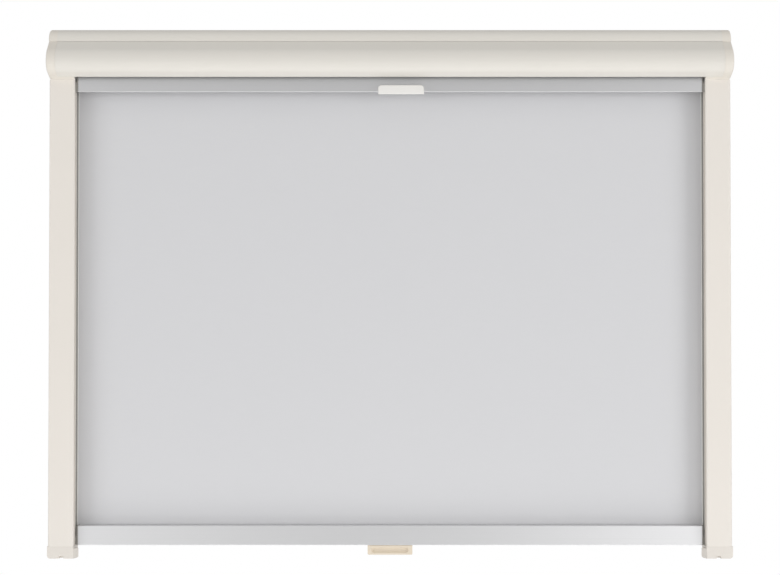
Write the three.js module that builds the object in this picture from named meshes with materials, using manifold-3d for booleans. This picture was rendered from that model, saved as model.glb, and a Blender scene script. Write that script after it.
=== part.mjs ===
// Day and night roller blind: a wall cassette with two sprung rollers, a fly screen and a
// blackout sheet, each with a bottom bar that slides between two channelled side rails.
// X runs to the right, Y to the wall behind, Z up. The origin is the middle of the cassette's
// rear face, on the wall. All lengths are in millimetres.
import * as THREE from 'three';
import { mergeVertices } from 'three/addons/utils/BufferGeometryUtils.js';
import Module from 'manifold-3d';

const wasm = await Module();
wasm.setup();

// Overall sizes
const blindWidth = 912;
const blindHeight = 707.5;
const cassetteDepth = 55;
const cassetteHeight = 64.5;
const capHeight = 67.5;
const railDepth = 30;
const railFaceWidth = 34;
const footHeight = 16;

// Clearances
const fitGap = 0.3;
const runGap = 0.5;
const sheetGap = 0.2;
const overrun = 2;
const leastStep = 0.01;

// Facets on half a circle, from thin shanks to the rollers
const arcSteps = 5;
const shankSteps = 4;
const screwSteps = 6;
const roundSteps = 8;
const plugSteps = 12;
const rollerSteps = 16;

// Cassette shell: drops are measured from its top, depths from the wall
const shellWall = 1.6;
const topFlatDepth = 21.5;
const shoulderRadius = 15.5;
const shoulderTurn = 8;
const grooveDrop = 17.7;
const grooveDepth = 36.6;
const apexDrop = 46.5;
const upperRadius = 25;
const lowerRadius = 16.5;
const coverLipDepth = 36;
const portRadius = 2.6;
const portBore = 1.6;
const portLength = 40;
const cornerPortInset = 3.3;
const grooveFlangeDrop = 5.7;

// End caps
const capLength = 12;
const capPlate = 4;
const capWall = 2.5;
const capRounding = 2;
const toeWall = 2;
const toeCover = 5;
const spigotReach = 6;
const spigotWall = 1.5;
const pegLength = 12;
const pegFrontInset = 5;
const pegBackInset = 27;
const capScrewRadius = 1.3;
const capScrewLength = 26;
const capScrewHeadRadius = 2.5;
const capScrewHeadLength = 1.9;

// Roller brackets
const bracketPlate = 2;
const bracketLinkRadius = 4;
const bracketHubRadius = 5.8;
const bracketBossRadius = 3.4;
const bracketScrewRadius = 1.4;
const bracketScrewLength = 7;
const bracketScrewHeadRadius = 2.8;
const bracketScrewHeadLength = 1.6;
const upperScrewDepth = 25;
const upperScrewDrop = 11.5;
const lowerScrewDepth = 20;
const lowerScrewDrop = 51.5;

// Side rails: slots are stacked from the front face to the wall
const coverWall = 1.6;
const coverRounding = 2;
const flankReturn = 3.5;
const baseWall = 1.5;
const slotReach = 12;
const screenSlotWidth = 8.2;
const slotRib = 1.6;
const blackoutSlotWidth = 8.2;
const sealRib = 1.4;
const sealThickness = 1.2;
const sealSeat = 0.1;
const sealLip = 1.3;
const sealTip = 0.5;
const railBackWall = 2;
const footPortRadius = 3.4;
const footPortBore = 1.8;
const fixingHoleRadius = 2.25;
const fixingHoleEndInset = 60;

// Feet
const footOverhang = 1;
const footCornerRadius = 4;
const footWall = 2.5;
const footFloor = 5;
const footLobeReach = 4.5;
const footLobeDepth = 12;
const footLobeDrop = 3;
const footLobeRadius = 1.6;
const footLobeHeel = 2;
const notchWidth = 6;
const notchHeight = 3.3;
const notchDepth = 8;
const footScrewRadius = 1.5;
const footScrewLength = 18;
const footScrewHeadRadius = 3;
const footScrewHeadLength = 2;

// Rollers
const tubeRadius = 10;
const tubeWall = 1;
const tubeEndInset = 25;
const blackoutRollBuild = 0.5;
const screenRollBuild = 2.6;
const blackoutRollerDrop = 15.6;
const screenRollerDrop = 41.5;
const plugFlange = 1.5;
const plugBodyLength = 18;
const rodRadius = 4;
const rodLength = 120;
const pinRadius = 3;
const pinLength = 28;
const collarRadius = 5.5;
const tangSize = 5.4;
const springWire = 1.2;
const springTurns = 16;
const springPitch = 3.6;
const springEndInset = 6;

// Sheets
const sheetThickness = 0.4;
const sheetEdgeInset = 26;
const blackoutSheetDepth = 5.1;

// Bottom bars
const barEndInset = 37.5;
const barWall = 1.1;
const barChamfer = 0.6;
const barPlugWall = 1.8;
const barSpigot = 12;
const hemChannelRadius = 1.6;
const hemSlotWidth = 1.2;
const hemBackWall = 1;
const screenBarDepth = 6;
const screenBarHeight = 25;
const blackoutBarHeight = 26;
const blackoutBarFrontDepth = 17.7;
const barParkDrop = 83.5;
const shoeHeight = 13;
const shoeRunout = 3;

// Pull tab on the screen bar and handle under the blackout bar
const tabWidth = 61;
const tabOffset = 14.8;
const tabHeight = 12.3;
const tabDrop = 4.6;
const tabProud = 10.6;
const tabChamfer = 3.1;
const handleWidth = 60;
const handleHeight = 12.4;
const handleDepth = 12.5;
const handleRounding = 1.5;
const scoopWidth = 50;
const scoopRadius = 3.5;
const scoopProud = 0.6;
const scoopDrop = 6.3;

// Catches in the rail slots
const catchStrip = 0.6;
const catchHeight = 30;
const catchBumpHeight = 6;
const catchSideGap = 1.1;

// Levels and planes worked out from the sizes above
const halfWidth = blindWidth / 2;
const topZ = cassetteHeight / 2;
const railFrontY = -railDepth;
const flankX = halfWidth - railFaceWidth;
const footBottomZ = topZ - blindHeight;
const railBottomZ = footBottomZ + footHeight;
const capBottomZ = topZ - capHeight;
const shellEndX = halfWidth - capLength - fitGap;
const plateInnerX = -capPlate;
const screenSlotFront = flankReturn;
const screenSlotBack = screenSlotFront + screenSlotWidth;
const blackoutSlotFront = screenSlotBack + slotRib;
const blackoutSlotBack = blackoutSlotFront + blackoutSlotWidth;
const sealFront = blackoutSlotBack + sealRib + sealSeat;
const sheetSlotFront = sealFront + sealThickness;
const screenBarY = railFrontY + (screenSlotFront + screenSlotBack) / 2;
const blackoutSheetY = -blackoutSheetDepth;
const slotFloorX = flankX + slotReach;
const tubeHalf = halfWidth - tubeEndInset;
const barHalf = halfWidth - barEndInset;
const sheetHalf = halfWidth - sheetEdgeInset;
const blackoutRollRadius = tubeRadius + blackoutRollBuild;
const screenRollRadius = tubeRadius + screenRollBuild;
const rollStandoff = sheetThickness / 2 + sheetGap;
const blackoutRollerY = blackoutSheetY - rollStandoff - blackoutRollRadius;
const blackoutRollerZ = topZ - blackoutRollerDrop;
const screenRollerY = screenBarY - rollStandoff - screenRollRadius;
const screenRollerZ = topZ - screenRollerDrop;
const blackoutBarBackY = blackoutSheetY + hemChannelRadius + hemBackWall;
const blackoutBarDepth = blackoutBarFrontDepth + blackoutBarBackY;
const blackoutBarY = -blackoutBarFrontDepth + blackoutBarDepth / 2;
const screenBarBottomZ = topZ - barParkDrop;
const blackoutBarBottomZ = railBottomZ;

const sides = [
  { name: 'left', sign: -1 },
  { name: 'right', sign: 1 },
];

// Finishes
const finish = (color, roughness, metalness = 0) =>
  new THREE.MeshStandardMaterial({ color, roughness, metalness });
const creamShell = finish(0xe6e3dd, 0.42);
const creamMoulding = finish(0xe9e4da, 0.5);
const silverBar = finish(0xc8c9cb, 0.38, 0.9);
const greyPlastic = finish(0x6f6c69, 0.55);
const sealGrey = finish(0xc5c3c4, 0.6);
const sheetGrey = finish(0xcfcfd1, 0.85);
const meshGrey = finish(0x3f4144, 0.9);
const whitePlastic = finish(0xe9e8e4, 0.45);
const handleCream = finish(0xefe6d2, 0.35);
const steel = finish(0xb4b6b8, 0.35, 0.9);
const springSteel = finish(0x9a9c9f, 0.3, 0.95);
const tubeAluminium = finish(0xc9cbcd, 0.4, 0.9);

// Joining and cutting closed meshes
function plain(geometry) {
  const bare = geometry.clone();
  bare.deleteAttribute('normal');
  bare.deleteAttribute('uv');
  return mergeVertices(bare);
}

function solidOf(geometry) {
  const bare = plain(geometry);
  return new wasm.Manifold(new wasm.Mesh({
    numProp: 3,
    vertProperties: Float32Array.from(bare.attributes.position.array),
    triVerts: Uint32Array.from(bare.index.array),
  }));
}

function geometryOf(solid) {
  const { numProp, vertProperties, triVerts } = solid.getMesh();
  const count = vertProperties.length / numProp;
  const positions = new Float32Array(count * 3);
  for (let i = 0; i < count; i += 1) {
    positions.set(vertProperties.subarray(i * numProp, i * numProp + 3), i * 3);
  }
  const geometry = new THREE.BufferGeometry();
  geometry.setAttribute('position', new THREE.BufferAttribute(positions, 3));
  geometry.setIndex(new THREE.BufferAttribute(Uint32Array.from(triVerts), 1));
  return geometry;
}

function joined(...geometries) {
  return geometryOf(geometries.map(solidOf).reduce((whole, part) => whole.add(part)));
}

function cut(geometry, ...tools) {
  const left = tools.map(solidOf).reduce((whole, tool) => whole.subtract(tool), solidOf(geometry));
  return geometryOf(left);
}

// The same piece for the left-hand side, with its faces still pointing out
function mirrored(geometry) {
  const copy = plain(geometry).scale(-1, 1, 1);
  const { array } = copy.index;
  for (let i = 0; i < array.length; i += 3) {
    [array[i + 1], array[i + 2]] = [array[i + 2], array[i + 1]];
  }
  return copy;
}

const sided = (geometry, side) => (side.sign > 0 ? geometry : mirrored(geometry));

// Prisms along each axis. A section along X is drawn in (y, z), along Y in (x, z), along Z in (x, y)
const axisX = new THREE.Vector3(1, 0, 0);
const axisY = new THREE.Vector3(0, 1, 0);
const axisZ = new THREE.Vector3(0, 0, 1);

function prism(section, depth, segments, extra = {}) {
  return new THREE.ExtrudeGeometry(section, {
    depth,
    bevelEnabled: false,
    curveSegments: segments,
    ...extra,
  });
}

function alongX(section, fromX, toX, segments = roundSteps, extra = {}) {
  return prism(section, toX - fromX, segments, extra)
    .applyMatrix4(new THREE.Matrix4().makeBasis(axisY, axisZ, axisX))
    .translate(fromX, 0, 0);
}

function alongY(section, frontY, backY, segments = roundSteps) {
  return prism(section, backY - frontY, segments)
    .applyMatrix4(new THREE.Matrix4().makeBasis(axisX, axisZ, axisY.clone().negate()))
    .translate(0, backY, 0);
}

const alongZ = (section, fromZ, toZ, segments = roundSteps) =>
  prism(section, toZ - fromZ, segments).translate(0, 0, fromZ);

function box(fromX, toX, fromY, toY, fromZ, toZ) {
  return new THREE.BoxGeometry(toX - fromX, toY - fromY, toZ - fromZ)
    .translate((fromX + toX) / 2, (fromY + toY) / 2, (fromZ + toZ) / 2);
}

function polygon(points) {
  return new THREE.Shape(points.map(([a, b]) => new THREE.Vector2(a, b)));
}

function disc(a, b, radius) {
  const shape = new THREE.Shape();
  shape.absarc(a, b, radius, 0, 2 * Math.PI);
  return shape;
}

function ring(a, b, outer, inner) {
  const shape = disc(a, b, outer);
  shape.holes.push(disc(a, b, inner));
  return shape;
}

// A round-ended bar between two points of a section
function link(from, to, radius) {
  const turn = Math.atan2(to[1] - from[1], to[0] - from[0]);
  const shape = new THREE.Shape();
  shape.absarc(to[0], to[1], radius, turn - Math.PI / 2, turn + Math.PI / 2);
  shape.absarc(from[0], from[1], radius, turn + Math.PI / 2, turn + 3 * Math.PI / 2);
  return shape;
}

const rodX = (radius, fromX, toX, y, z, segments = roundSteps) =>
  alongX(disc(y, z, radius), fromX, toX, segments);

const rodsX = (radius, fromX, toX, places, segments = roundSteps) =>
  places.map(([y, z]) => rodX(radius, fromX, toX, y, z, segments));

const radians = (degrees) => THREE.MathUtils.degToRad(degrees);

// Cassette front: the shoulder, the groove and the main round, from the named drops and depths
const shoulder = { y: -topFlatDepth, z: topZ - shoulderRadius };
const groove = { y: -grooveDepth, z: topZ - grooveDrop };
const apexZ = topZ - apexDrop;
const upper = { y: upperRadius - cassetteDepth, z: apexZ };
const lower = { y: lowerRadius - cassetteDepth, z: apexZ };
const coverEdge = { y: groove.y, z: groove.z - fitGap };
const toe = { y: railFrontY, z: capBottomZ };

// The angle at a circle's centre where a line from an outside point touches the circle
function touchAngle(circle, radius, point, side) {
  const away = Math.hypot(point.y - circle.y, point.z - circle.z);
  return Math.atan2(point.z - circle.z, point.y - circle.y) + side * Math.acos(radius / away);
}

const inwards = (angle, length) => [-Math.cos(angle) * length, -Math.sin(angle) * length];

const flankAngle = touchAngle(upper, upperRadius, coverEdge, 1);
const undersideAngle = touchAngle(lower, lowerRadius, toe, -1) + 2 * Math.PI;
const undersideAt = (y) => {
  const startY = lower.y + lowerRadius * Math.cos(undersideAngle);
  const startZ = lower.z + lowerRadius * Math.sin(undersideAngle);
  return startZ + (y - startY) * (toe.z - startZ) / (toe.y - startY);
};
const coverLip = { y: -coverLipDepth, z: undersideAt(-coverLipDepth) };

// Places of the screw ports, the roller axes and the bracket's screws, in a side view
const cornerPort = [-shellWall - cornerPortInset, topZ - shellWall - cornerPortInset];
const groovePort = [groove.y + 2 * fitGap + shellWall, groove.z - grooveFlangeDrop];
const screwPorts = [cornerPort, groovePort];
const blackoutAxis = [blackoutRollerY, blackoutRollerZ];
const screenAxis = [screenRollerY, screenRollerZ];
const upperBoss = [-upperScrewDepth, topZ - upperScrewDrop];
const lowerBoss = [-lowerScrewDepth, topZ - lowerScrewDrop];
const bosses = [upperBoss, lowerBoss];

function cassetteBackSection() {
  const turn = radians(shoulderTurn);
  const innerRadius = shoulderRadius - shellWall;
  const floorZ = groove.z + shellWall;
  const innerTurn = Math.asin((shoulder.z - floorZ) / innerRadius);
  const flangeBack = groovePort[0] + shellWall / 2;
  const shape = new THREE.Shape();
  shape.moveTo(-shellWall, -topZ);
  shape.lineTo(0, -topZ);
  shape.lineTo(0, topZ);
  shape.lineTo(shoulder.y, topZ);
  shape.absarc(shoulder.y, shoulder.z, shoulderRadius, Math.PI / 2, Math.PI + turn);
  shape.lineTo(groove.y, groove.z);
  shape.lineTo(flangeBack - shellWall, groove.z);
  shape.lineTo(flangeBack - shellWall, groovePort[1]);
  shape.lineTo(flangeBack, groovePort[1]);
  shape.lineTo(flangeBack, floorZ);
  shape.absarc(shoulder.y, shoulder.z, innerRadius, Math.PI + innerTurn, Math.PI / 2, true);
  shape.lineTo(-shellWall, topZ - shellWall);
  return shape;
}

function cassetteBack() {
  const shell = alongX(cassetteBackSection(), -shellEndX, shellEndX, arcSteps);
  const ports = rodsX(portRadius, -shellEndX, shellEndX, screwPorts, screwSteps);
  const corner = [-shellWall / 2, topZ - shellWall / 2];
  const web = alongX(link(corner, cornerPort, shellWall / 2), -shellEndX, shellEndX, shankSteps);
  const bores = [
    ...rodsX(portBore, shellEndX - portLength, shellEndX + overrun, screwPorts, screwSteps),
    ...rodsX(portBore, -shellEndX - overrun, portLength - shellEndX, screwPorts, screwSteps),
  ];
  return cut(joined(shell, web, ...ports), ...bores);
}

function cassetteCoverSection() {
  const flankIn = inwards(flankAngle, shellWall);
  const underIn = inwards(undersideAngle, shellWall);
  const shape = new THREE.Shape();
  shape.moveTo(coverEdge.y + flankIn[0], coverEdge.z + flankIn[1]);
  shape.lineTo(coverEdge.y, coverEdge.z);
  shape.absarc(upper.y, upper.z, upperRadius, flankAngle, Math.PI);
  shape.absarc(lower.y, lower.z, lowerRadius, Math.PI, undersideAngle);
  shape.lineTo(coverLip.y, coverLip.z);
  shape.lineTo(coverLip.y + underIn[0], coverLip.z + underIn[1]);
  shape.absarc(lower.y, lower.z, lowerRadius - shellWall, undersideAngle, Math.PI, true);
  shape.absarc(upper.y, upper.z, upperRadius - shellWall, Math.PI, flankAngle, true);
  return shape;
}

const cassetteCover = () => alongX(cassetteCoverSection(), -shellEndX, shellEndX, arcSteps);

function capOutline() {
  const shape = new THREE.Shape();
  shape.moveTo(0, capBottomZ);
  shape.lineTo(0, topZ);
  shape.lineTo(shoulder.y, topZ);
  shape.absarc(shoulder.y, shoulder.z, shoulderRadius, Math.PI / 2, Math.PI + radians(shoulderTurn));
  shape.lineTo(coverEdge.y, coverEdge.z);
  shape.absarc(upper.y, upper.z, upperRadius, flankAngle, Math.PI);
  shape.absarc(lower.y, lower.z, lowerRadius, Math.PI, undersideAngle);
  shape.lineTo(toe.y, toe.z);
  return distinct(shape);
}

// The same outline as a polygon, without the doubled points where two arcs meet
function distinct(shape) {
  const points = shape.getPoints(arcSteps);
  return new THREE.Shape(points.filter((point, i) => point.distanceTo(points.at(i - 1)) > leastStep));
}

// The part of a cap that closes the corner between the cassette's lower edge and the rail's face
function capToe() {
  const frontY = coverLip.y + fitGap;
  const frontIn = inwards(undersideAngle, toeWall);
  const wallY = railFrontY + coverWall;
  const topOfToe = capBottomZ + toeCover;
  const section = polygon([
    [toe.y, toe.z],
    [wallY, toe.z],
    [wallY, topOfToe],
    [toe.y, topOfToe],
    [frontY + frontIn[0], undersideAt(frontY) + frontIn[1]],
    [frontY, undersideAt(frontY)],
  ]);
  const plate = alongX(section, -railFaceWidth, capPlate - capLength);
  const flank = box(
    -railFaceWidth,
    coverWall - railFaceWidth,
    railFrontY,
    railFrontY + flankReturn,
    capBottomZ,
    topOfToe,
  );
  return joined(plate, flank);
}

// A curved tongue that holds the cover's lower round from inside
function capSpigot() {
  const outer = lowerRadius - shellWall - fitGap;
  const inner = outer - spigotWall;
  const shape = new THREE.Shape();
  shape.absarc(lower.y, lower.z, outer, Math.PI, undersideAngle);
  shape.absarc(lower.y, lower.z, inner, undersideAngle, Math.PI, true);
  return alongX(shape, -capLength - spigotReach, -capLength + overrun, shankSteps);
}

// A flat peg that stands in the rail's outer chamber
function capPeg() {
  const outerX = -coverWall - fitGap - baseWall - fitGap;
  const innerX = -railFaceWidth + slotReach + baseWall + footPortRadius * 2 + fitGap;
  return box(
    innerX,
    outerX,
    railFrontY + pegFrontInset,
    railFrontY + pegBackInset,
    capBottomZ - pegLength,
    capBottomZ + capWall,
  );
}

// The cap's rounded outside, hollowed from the inner end
function capShell() {
  const outline = capOutline();
  const outside = alongX(outline, -capLength - capRounding, -capRounding, arcSteps, {
    bevelEnabled: true,
    bevelSize: capRounding,
    bevelThickness: capRounding,
    bevelOffset: -capRounding,
    bevelSegments: 2,
  });
  const hollow = alongX(outline, -capLength - overrun, plateInnerX, arcSteps, {
    bevelEnabled: true,
    bevelSize: 0,
    bevelThickness: 0,
    bevelOffset: -capWall,
    bevelSegments: 0,
  });
  const innerEnd = box(
    -capLength - 2 * capRounding,
    -capLength,
    -cassetteDepth - overrun,
    overrun,
    capBottomZ - overrun,
    topZ + overrun,
  );
  return cut(outside, innerEnd, hollow);
}

function endCap() {
  const columns = rodsX(bracketBossRadius, -capLength, plateInnerX + overrun / 2, bosses);
  const pilotRadius = bracketScrewRadius + fitGap;
  const pilots = rodsX(pilotRadius, -capLength - overrun, plateInnerX, bosses, screwSteps);
  const shanks = rodsX(capScrewRadius + fitGap, -capLength, overrun, screwPorts, screwSteps);
  const headX = -capScrewHeadLength - fitGap;
  const heads = rodsX(capScrewHeadRadius + fitGap, headX, overrun, screwPorts);
  const body = joined(capShell(), capToe(), capSpigot(), capPeg(), ...columns);
  return cut(body, ...pilots, ...shanks, ...heads);
}

// A round-headed screw along X whose head's outer face is at headX and whose shank runs inwards
function screwAlongX([y, z], headX, headRadius, headLength, radius, length) {
  return joined(
    rodX(headRadius, headX - headLength, headX, y, z, screwSteps),
    rodX(radius, headX - headLength - length, headX - headLength / 2, y, z, shankSteps),
  );
}

const capScrew = (port) =>
  screwAlongX(port, -fitGap, capScrewHeadRadius, capScrewHeadLength, capScrewRadius, capScrewLength);

const bracketInnerX = -capLength - fitGap - bracketPlate;

function rollerBracket() {
  const [fromX, toX] = [bracketInnerX, bracketInnerX + bracketPlate];
  const links = [
    link(blackoutAxis, screenAxis, bracketLinkRadius),
    link(blackoutAxis, upperBoss, bracketLinkRadius),
    link(screenAxis, lowerBoss, bracketLinkRadius),
    disc(...blackoutAxis, bracketHubRadius),
    disc(...screenAxis, bracketHubRadius),
  ];
  const plate = joined(...links.map((shape) => alongX(shape, fromX, toX, shankSteps)));
  const [cutFromX, cutToX] = [fromX - overrun, toX + overrun];
  const half = tangSize / 2 + fitGap;
  const tangHoles = [blackoutAxis, screenAxis].map(([y, z]) =>
    box(cutFromX, cutToX, y - half, y + half, z - half, z + half));
  const holes = rodsX(bracketScrewRadius + fitGap, cutFromX, cutToX, bosses, screwSteps);
  return cut(plate, ...tangHoles, ...holes);
}

// The bracket's screw comes from inside, so it is built head inwards
function bracketScrew([y, z]) {
  const headX = bracketInnerX - fitGap;
  return joined(
    rodX(bracketScrewHeadRadius, headX - bracketScrewHeadLength, headX, y, z, screwSteps),
    rodX(
      bracketScrewRadius,
      headX - bracketScrewHeadLength / 2,
      headX + bracketScrewLength,
      y,
      z,
      shankSteps,
    ),
  );
}

// Rails, drawn from the outer side inwards: x runs from 0 at the outside to minus the face width
const railSection = (points) => polygon(points.map(([across, deep]) => [-across, railFrontY + deep]));

function railCoverSection() {
  const rounded = new THREE.Shape();
  const corner = coverRounding;
  const [outX, inX] = [0, -railFaceWidth];
  rounded.moveTo(outX, 0);
  rounded.lineTo(outX - coverWall, 0);
  rounded.lineTo(outX - coverWall, railFrontY + coverWall);
  rounded.lineTo(inX + coverWall, railFrontY + coverWall);
  rounded.lineTo(inX + coverWall, railFrontY + flankReturn);
  rounded.lineTo(inX, railFrontY + flankReturn);
  rounded.lineTo(inX, railFrontY + corner);
  rounded.absarc(inX + corner, railFrontY + corner, corner, Math.PI, 3 * Math.PI / 2);
  rounded.absarc(outX - corner, railFrontY + corner, corner, -Math.PI / 2, 0);
  return rounded;
}

const railTopZ = capBottomZ - fitGap;
const railEndZ = railBottomZ + fitGap;

const railCover = () => alongZ(railCoverSection(), railEndZ, railTopZ, shankSteps);

const baseOuter = coverWall + fitGap;
const webBack = railFaceWidth - slotReach;
const footPortX = footPortRadius + baseWall / 2 - webBack;
const footPortY = railFrontY + (screenSlotFront + sheetSlotFront) / 2;
const footPort = [footPortX, footPortY];

function railBase() {
  const backFace = railDepth - railBackWall;
  const webFront = webBack - baseWall;
  const lipEnd = railFaceWidth - coverWall - fitGap;
  const frontFace = coverWall + fitGap;
  const comb = railSection([
    [baseOuter, frontFace],
    [baseOuter, railDepth],
    [railFaceWidth, railDepth],
    [railFaceWidth, backFace],
    [webBack, backFace],
    [webBack, blackoutSlotBack + sealRib],
    [railFaceWidth - coverWall / 2, blackoutSlotBack + sealRib],
    [railFaceWidth - coverWall / 2, blackoutSlotBack],
    [webBack, blackoutSlotBack],
    [webBack, blackoutSlotFront],
    [railFaceWidth, blackoutSlotFront],
    [railFaceWidth, screenSlotBack],
    [webBack, screenSlotBack],
    [webBack, screenSlotFront],
    [lipEnd, screenSlotFront],
    [lipEnd, frontFace],
    [webFront, frontFace],
    [webFront, backFace],
    [baseOuter + baseWall, backFace],
    [baseOuter + baseWall, frontFace],
  ]);
  const body = joined(
    alongZ(comb, railEndZ, railTopZ),
    alongZ(disc(...footPort, footPortRadius), railEndZ, railTopZ),
  );
  const bore = alongZ(disc(...footPort, footPortBore), railEndZ - overrun, railTopZ + overrun, screwSteps);
  const holeX = (footPortX + footPortRadius - baseOuter) / 2;
  const middleZ = (railEndZ + railTopZ) / 2;
  const heights = [railEndZ + fixingHoleEndInset, middleZ, railTopZ - fixingHoleEndInset];
  const holes = heights.map((z) =>
    alongY(disc(holeX, z, fixingHoleRadius), -railBackWall - overrun, overrun, screwSteps));
  return cut(body, bore, ...holes);
}

function sideSeal() {
  const root = webBack + fitGap;
  const tip = railFaceWidth + sealLip;
  const rear = sealFront + sealThickness - sealSeat;
  const section = railSection([
    [root, sealFront],
    [root, rear],
    [tip - sealTip, rear],
    [tip, rear - sealTip],
    [tip, sealFront + sealTip],
    [tip - sealTip, sealFront],
  ]);
  return alongZ(section, railEndZ, railTopZ);
}

function footOutline() {
  const [left, right] = [-railFaceWidth, footOverhang];
  const radius = footCornerRadius;
  const notchX = -railFaceWidth / 2;
  const shape = new THREE.Shape();
  shape.moveTo(left, railBottomZ);
  shape.lineTo(left, footBottomZ);
  shape.lineTo(notchX - notchWidth / 2, footBottomZ);
  shape.lineTo(notchX + notchWidth / 2, footBottomZ);
  shape.absarc(right - radius, footBottomZ + radius, radius, -Math.PI / 2, 0);
  shape.lineTo(right, railBottomZ);
  return shape;
}

// The lobe stands in front of the bars' ends and slopes back from the rail's face
function footLobe() {
  const tip = -railFaceWidth - footLobeReach;
  const root = footWall / 2 - railFaceWidth;
  const crownZ = railBottomZ - footLobeDrop;
  const heelY = railFrontY + footLobeDepth;
  const radius = footLobeRadius;
  const shape = new THREE.Shape();
  shape.moveTo(root, crownZ);
  shape.lineTo(tip + radius, crownZ);
  shape.absarc(tip + radius, crownZ - radius, radius, Math.PI / 2, Math.PI);
  shape.absarc(tip + radius, footBottomZ + radius, radius, Math.PI, 3 * Math.PI / 2);
  shape.lineTo(root, footBottomZ);
  const slope = new THREE.Shape();
  slope.moveTo(-railFaceWidth, railFrontY - overrun);
  slope.lineTo(-railFaceWidth, railFrontY);
  slope.lineTo(tip, heelY - footLobeHeel);
  slope.lineTo(tip - overrun, heelY - footLobeHeel);
  slope.lineTo(tip - overrun, railFrontY - overrun);
  return cut(
    alongY(shape, railFrontY, heelY, arcSteps),
    alongZ(slope, footBottomZ - overrun, railBottomZ),
  );
}

function foot() {
  const block = joined(alongY(footOutline(), railFrontY, 0, arcSteps), footLobe());
  const hollow = box(
    footWall - railFaceWidth,
    footOverhang - footWall,
    railFrontY + footWall,
    -footWall,
    footBottomZ + footFloor,
    railBottomZ + overrun,
  );
  const notchX = -railFaceWidth / 2;
  const notch = box(
    notchX - notchWidth / 2,
    notchX + notchWidth / 2,
    railFrontY - overrun,
    railFrontY + notchDepth,
    footBottomZ - overrun,
    footBottomZ + notchHeight,
  );
  const column = alongZ(disc(...footPort, footPortRadius), footBottomZ + footFloor / 2, railBottomZ);
  const underneathZ = footBottomZ - overrun;
  const shank = disc(...footPort, footScrewRadius + fitGap);
  const head = disc(...footPort, footScrewHeadRadius + fitGap);
  return cut(
    joined(cut(block, hollow, notch), column),
    alongZ(shank, underneathZ, railBottomZ + overrun, screwSteps),
    alongZ(head, underneathZ, footBottomZ + footScrewHeadLength + 2 * fitGap),
  );
}

function footScrew() {
  const headZ = footBottomZ + fitGap;
  const neckZ = headZ + footScrewHeadLength;
  const shankFromZ = neckZ - footScrewHeadLength / 2;
  return joined(
    alongZ(disc(...footPort, footScrewHeadRadius), headZ, neckZ, screwSteps),
    alongZ(disc(...footPort, footScrewRadius), shankFromZ, neckZ + footScrewLength, shankSteps),
  );
}

// A leaf of spring steel on a slot's floor, with a bump just above the parked shoe
function catchLeaf(slotFront, slotBack) {
  const floorX = -webBack - fitGap;
  const faceX = floorX - catchStrip;
  const tipX = -(webBack + shoeRunout - fitGap);
  const bottomZ = railEndZ + fitGap;
  const bumpZ = railBottomZ + shoeHeight + 2 * runGap;
  const outline = polygon([
    [floorX, bottomZ],
    [floorX, bottomZ + catchHeight],
    [faceX, bottomZ + catchHeight],
    [faceX, bumpZ + catchBumpHeight],
    [tipX, bumpZ + catchBumpHeight / 2],
    [faceX, bumpZ],
    [faceX, bottomZ],
  ]);
  return alongY(outline, railFrontY + slotFront + catchSideGap, railFrontY + slotBack - catchSideGap);
}

// Rollers, drawn about their own axis
const rollerTube = () =>
  alongX(ring(0, 0, tubeRadius, tubeRadius - tubeWall), -tubeHalf, tubeHalf, rollerSteps);

const rolledSheet = (build) =>
  alongX(ring(0, 0, tubeRadius + build, tubeRadius + sheetGap / 2), -sheetHalf, sheetHalf, rollerSteps);

const plugEndX = tubeHalf + sheetGap + plugFlange;

function rollerPlug(boreRadius) {
  const bodyRadius = tubeRadius - tubeWall - sheetGap;
  const bodyFromX = tubeHalf - plugBodyLength;
  const body = rodX(bodyRadius, bodyFromX, plugEndX, 0, 0, plugSteps);
  const flange = rodX(tubeRadius, plugEndX - plugFlange, plugEndX, 0, 0, plugSteps);
  const bore = rodX(boreRadius, bodyFromX - overrun, plugEndX + overrun, 0, 0, plugSteps);
  return cut(joined(body, flange), bore);
}

// A fixed axle: a square tang in the bracket, a collar that keeps the roller in place, a round shaft
function axle(radius, length) {
  const bracketX = halfWidth + bracketInnerX;
  const half = tangSize / 2;
  const collarFromX = plugEndX + fitGap;
  return joined(
    rodX(radius, bracketX - length, collarFromX + overrun, 0, 0),
    rodX(collarRadius, collarFromX, bracketX - fitGap, 0, 0),
    box(bracketX - 2 * fitGap, bracketX + bracketPlate, -half, half, -half, half),
  );
}

class Helix extends THREE.Curve {
  constructor(radius, pitch, turns) {
    super();
    Object.assign(this, { radius, pitch, turns });
  }

  getPoint(share, target = new THREE.Vector3()) {
    const turn = share * this.turns;
    const angle = 2 * Math.PI * turn;
    return target.set(turn * this.pitch, this.radius * Math.cos(angle), this.radius * Math.sin(angle));
  }
}

const springStepsPerTurn = 8;
const springWireSides = 5;

function returnSpring() {
  const coilRadius = rodRadius + fitGap + springWire / 2;
  const corners = Array.from({ length: springWireSides }, (_, i) => 2 * Math.PI * i / springWireSides);
  const section = polygon(corners.map((angle) =>
    [Math.cos(angle) * springWire / 2, Math.sin(angle) * springWire / 2]));
  const startX = tubeHalf - plugBodyLength - springEndInset;
  return new THREE.ExtrudeGeometry(section, {
    steps: springTurns * springStepsPerTurn,
    extrudePath: new Helix(coilRadius, springPitch, springTurns),
    bevelEnabled: false,
  }).translate(-startX, 0, 0);
}

// Bottom bars, drawn about their middle in Y and their lower edge in Z
function barOutline(depth, height) {
  const [front, back, edge] = [-depth / 2, depth / 2, barChamfer];
  return polygon([
    [front + edge, 0],
    [back - edge, 0],
    [back, edge],
    [back, height - edge],
    [back - edge, height],
    [front + edge, height],
    [front, height - edge],
    [front, edge],
  ]);
}

const hemDrop = hemChannelRadius + barWall;
const chamberTop = (height) => height - hemDrop - hemChannelRadius - barWall;

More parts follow.
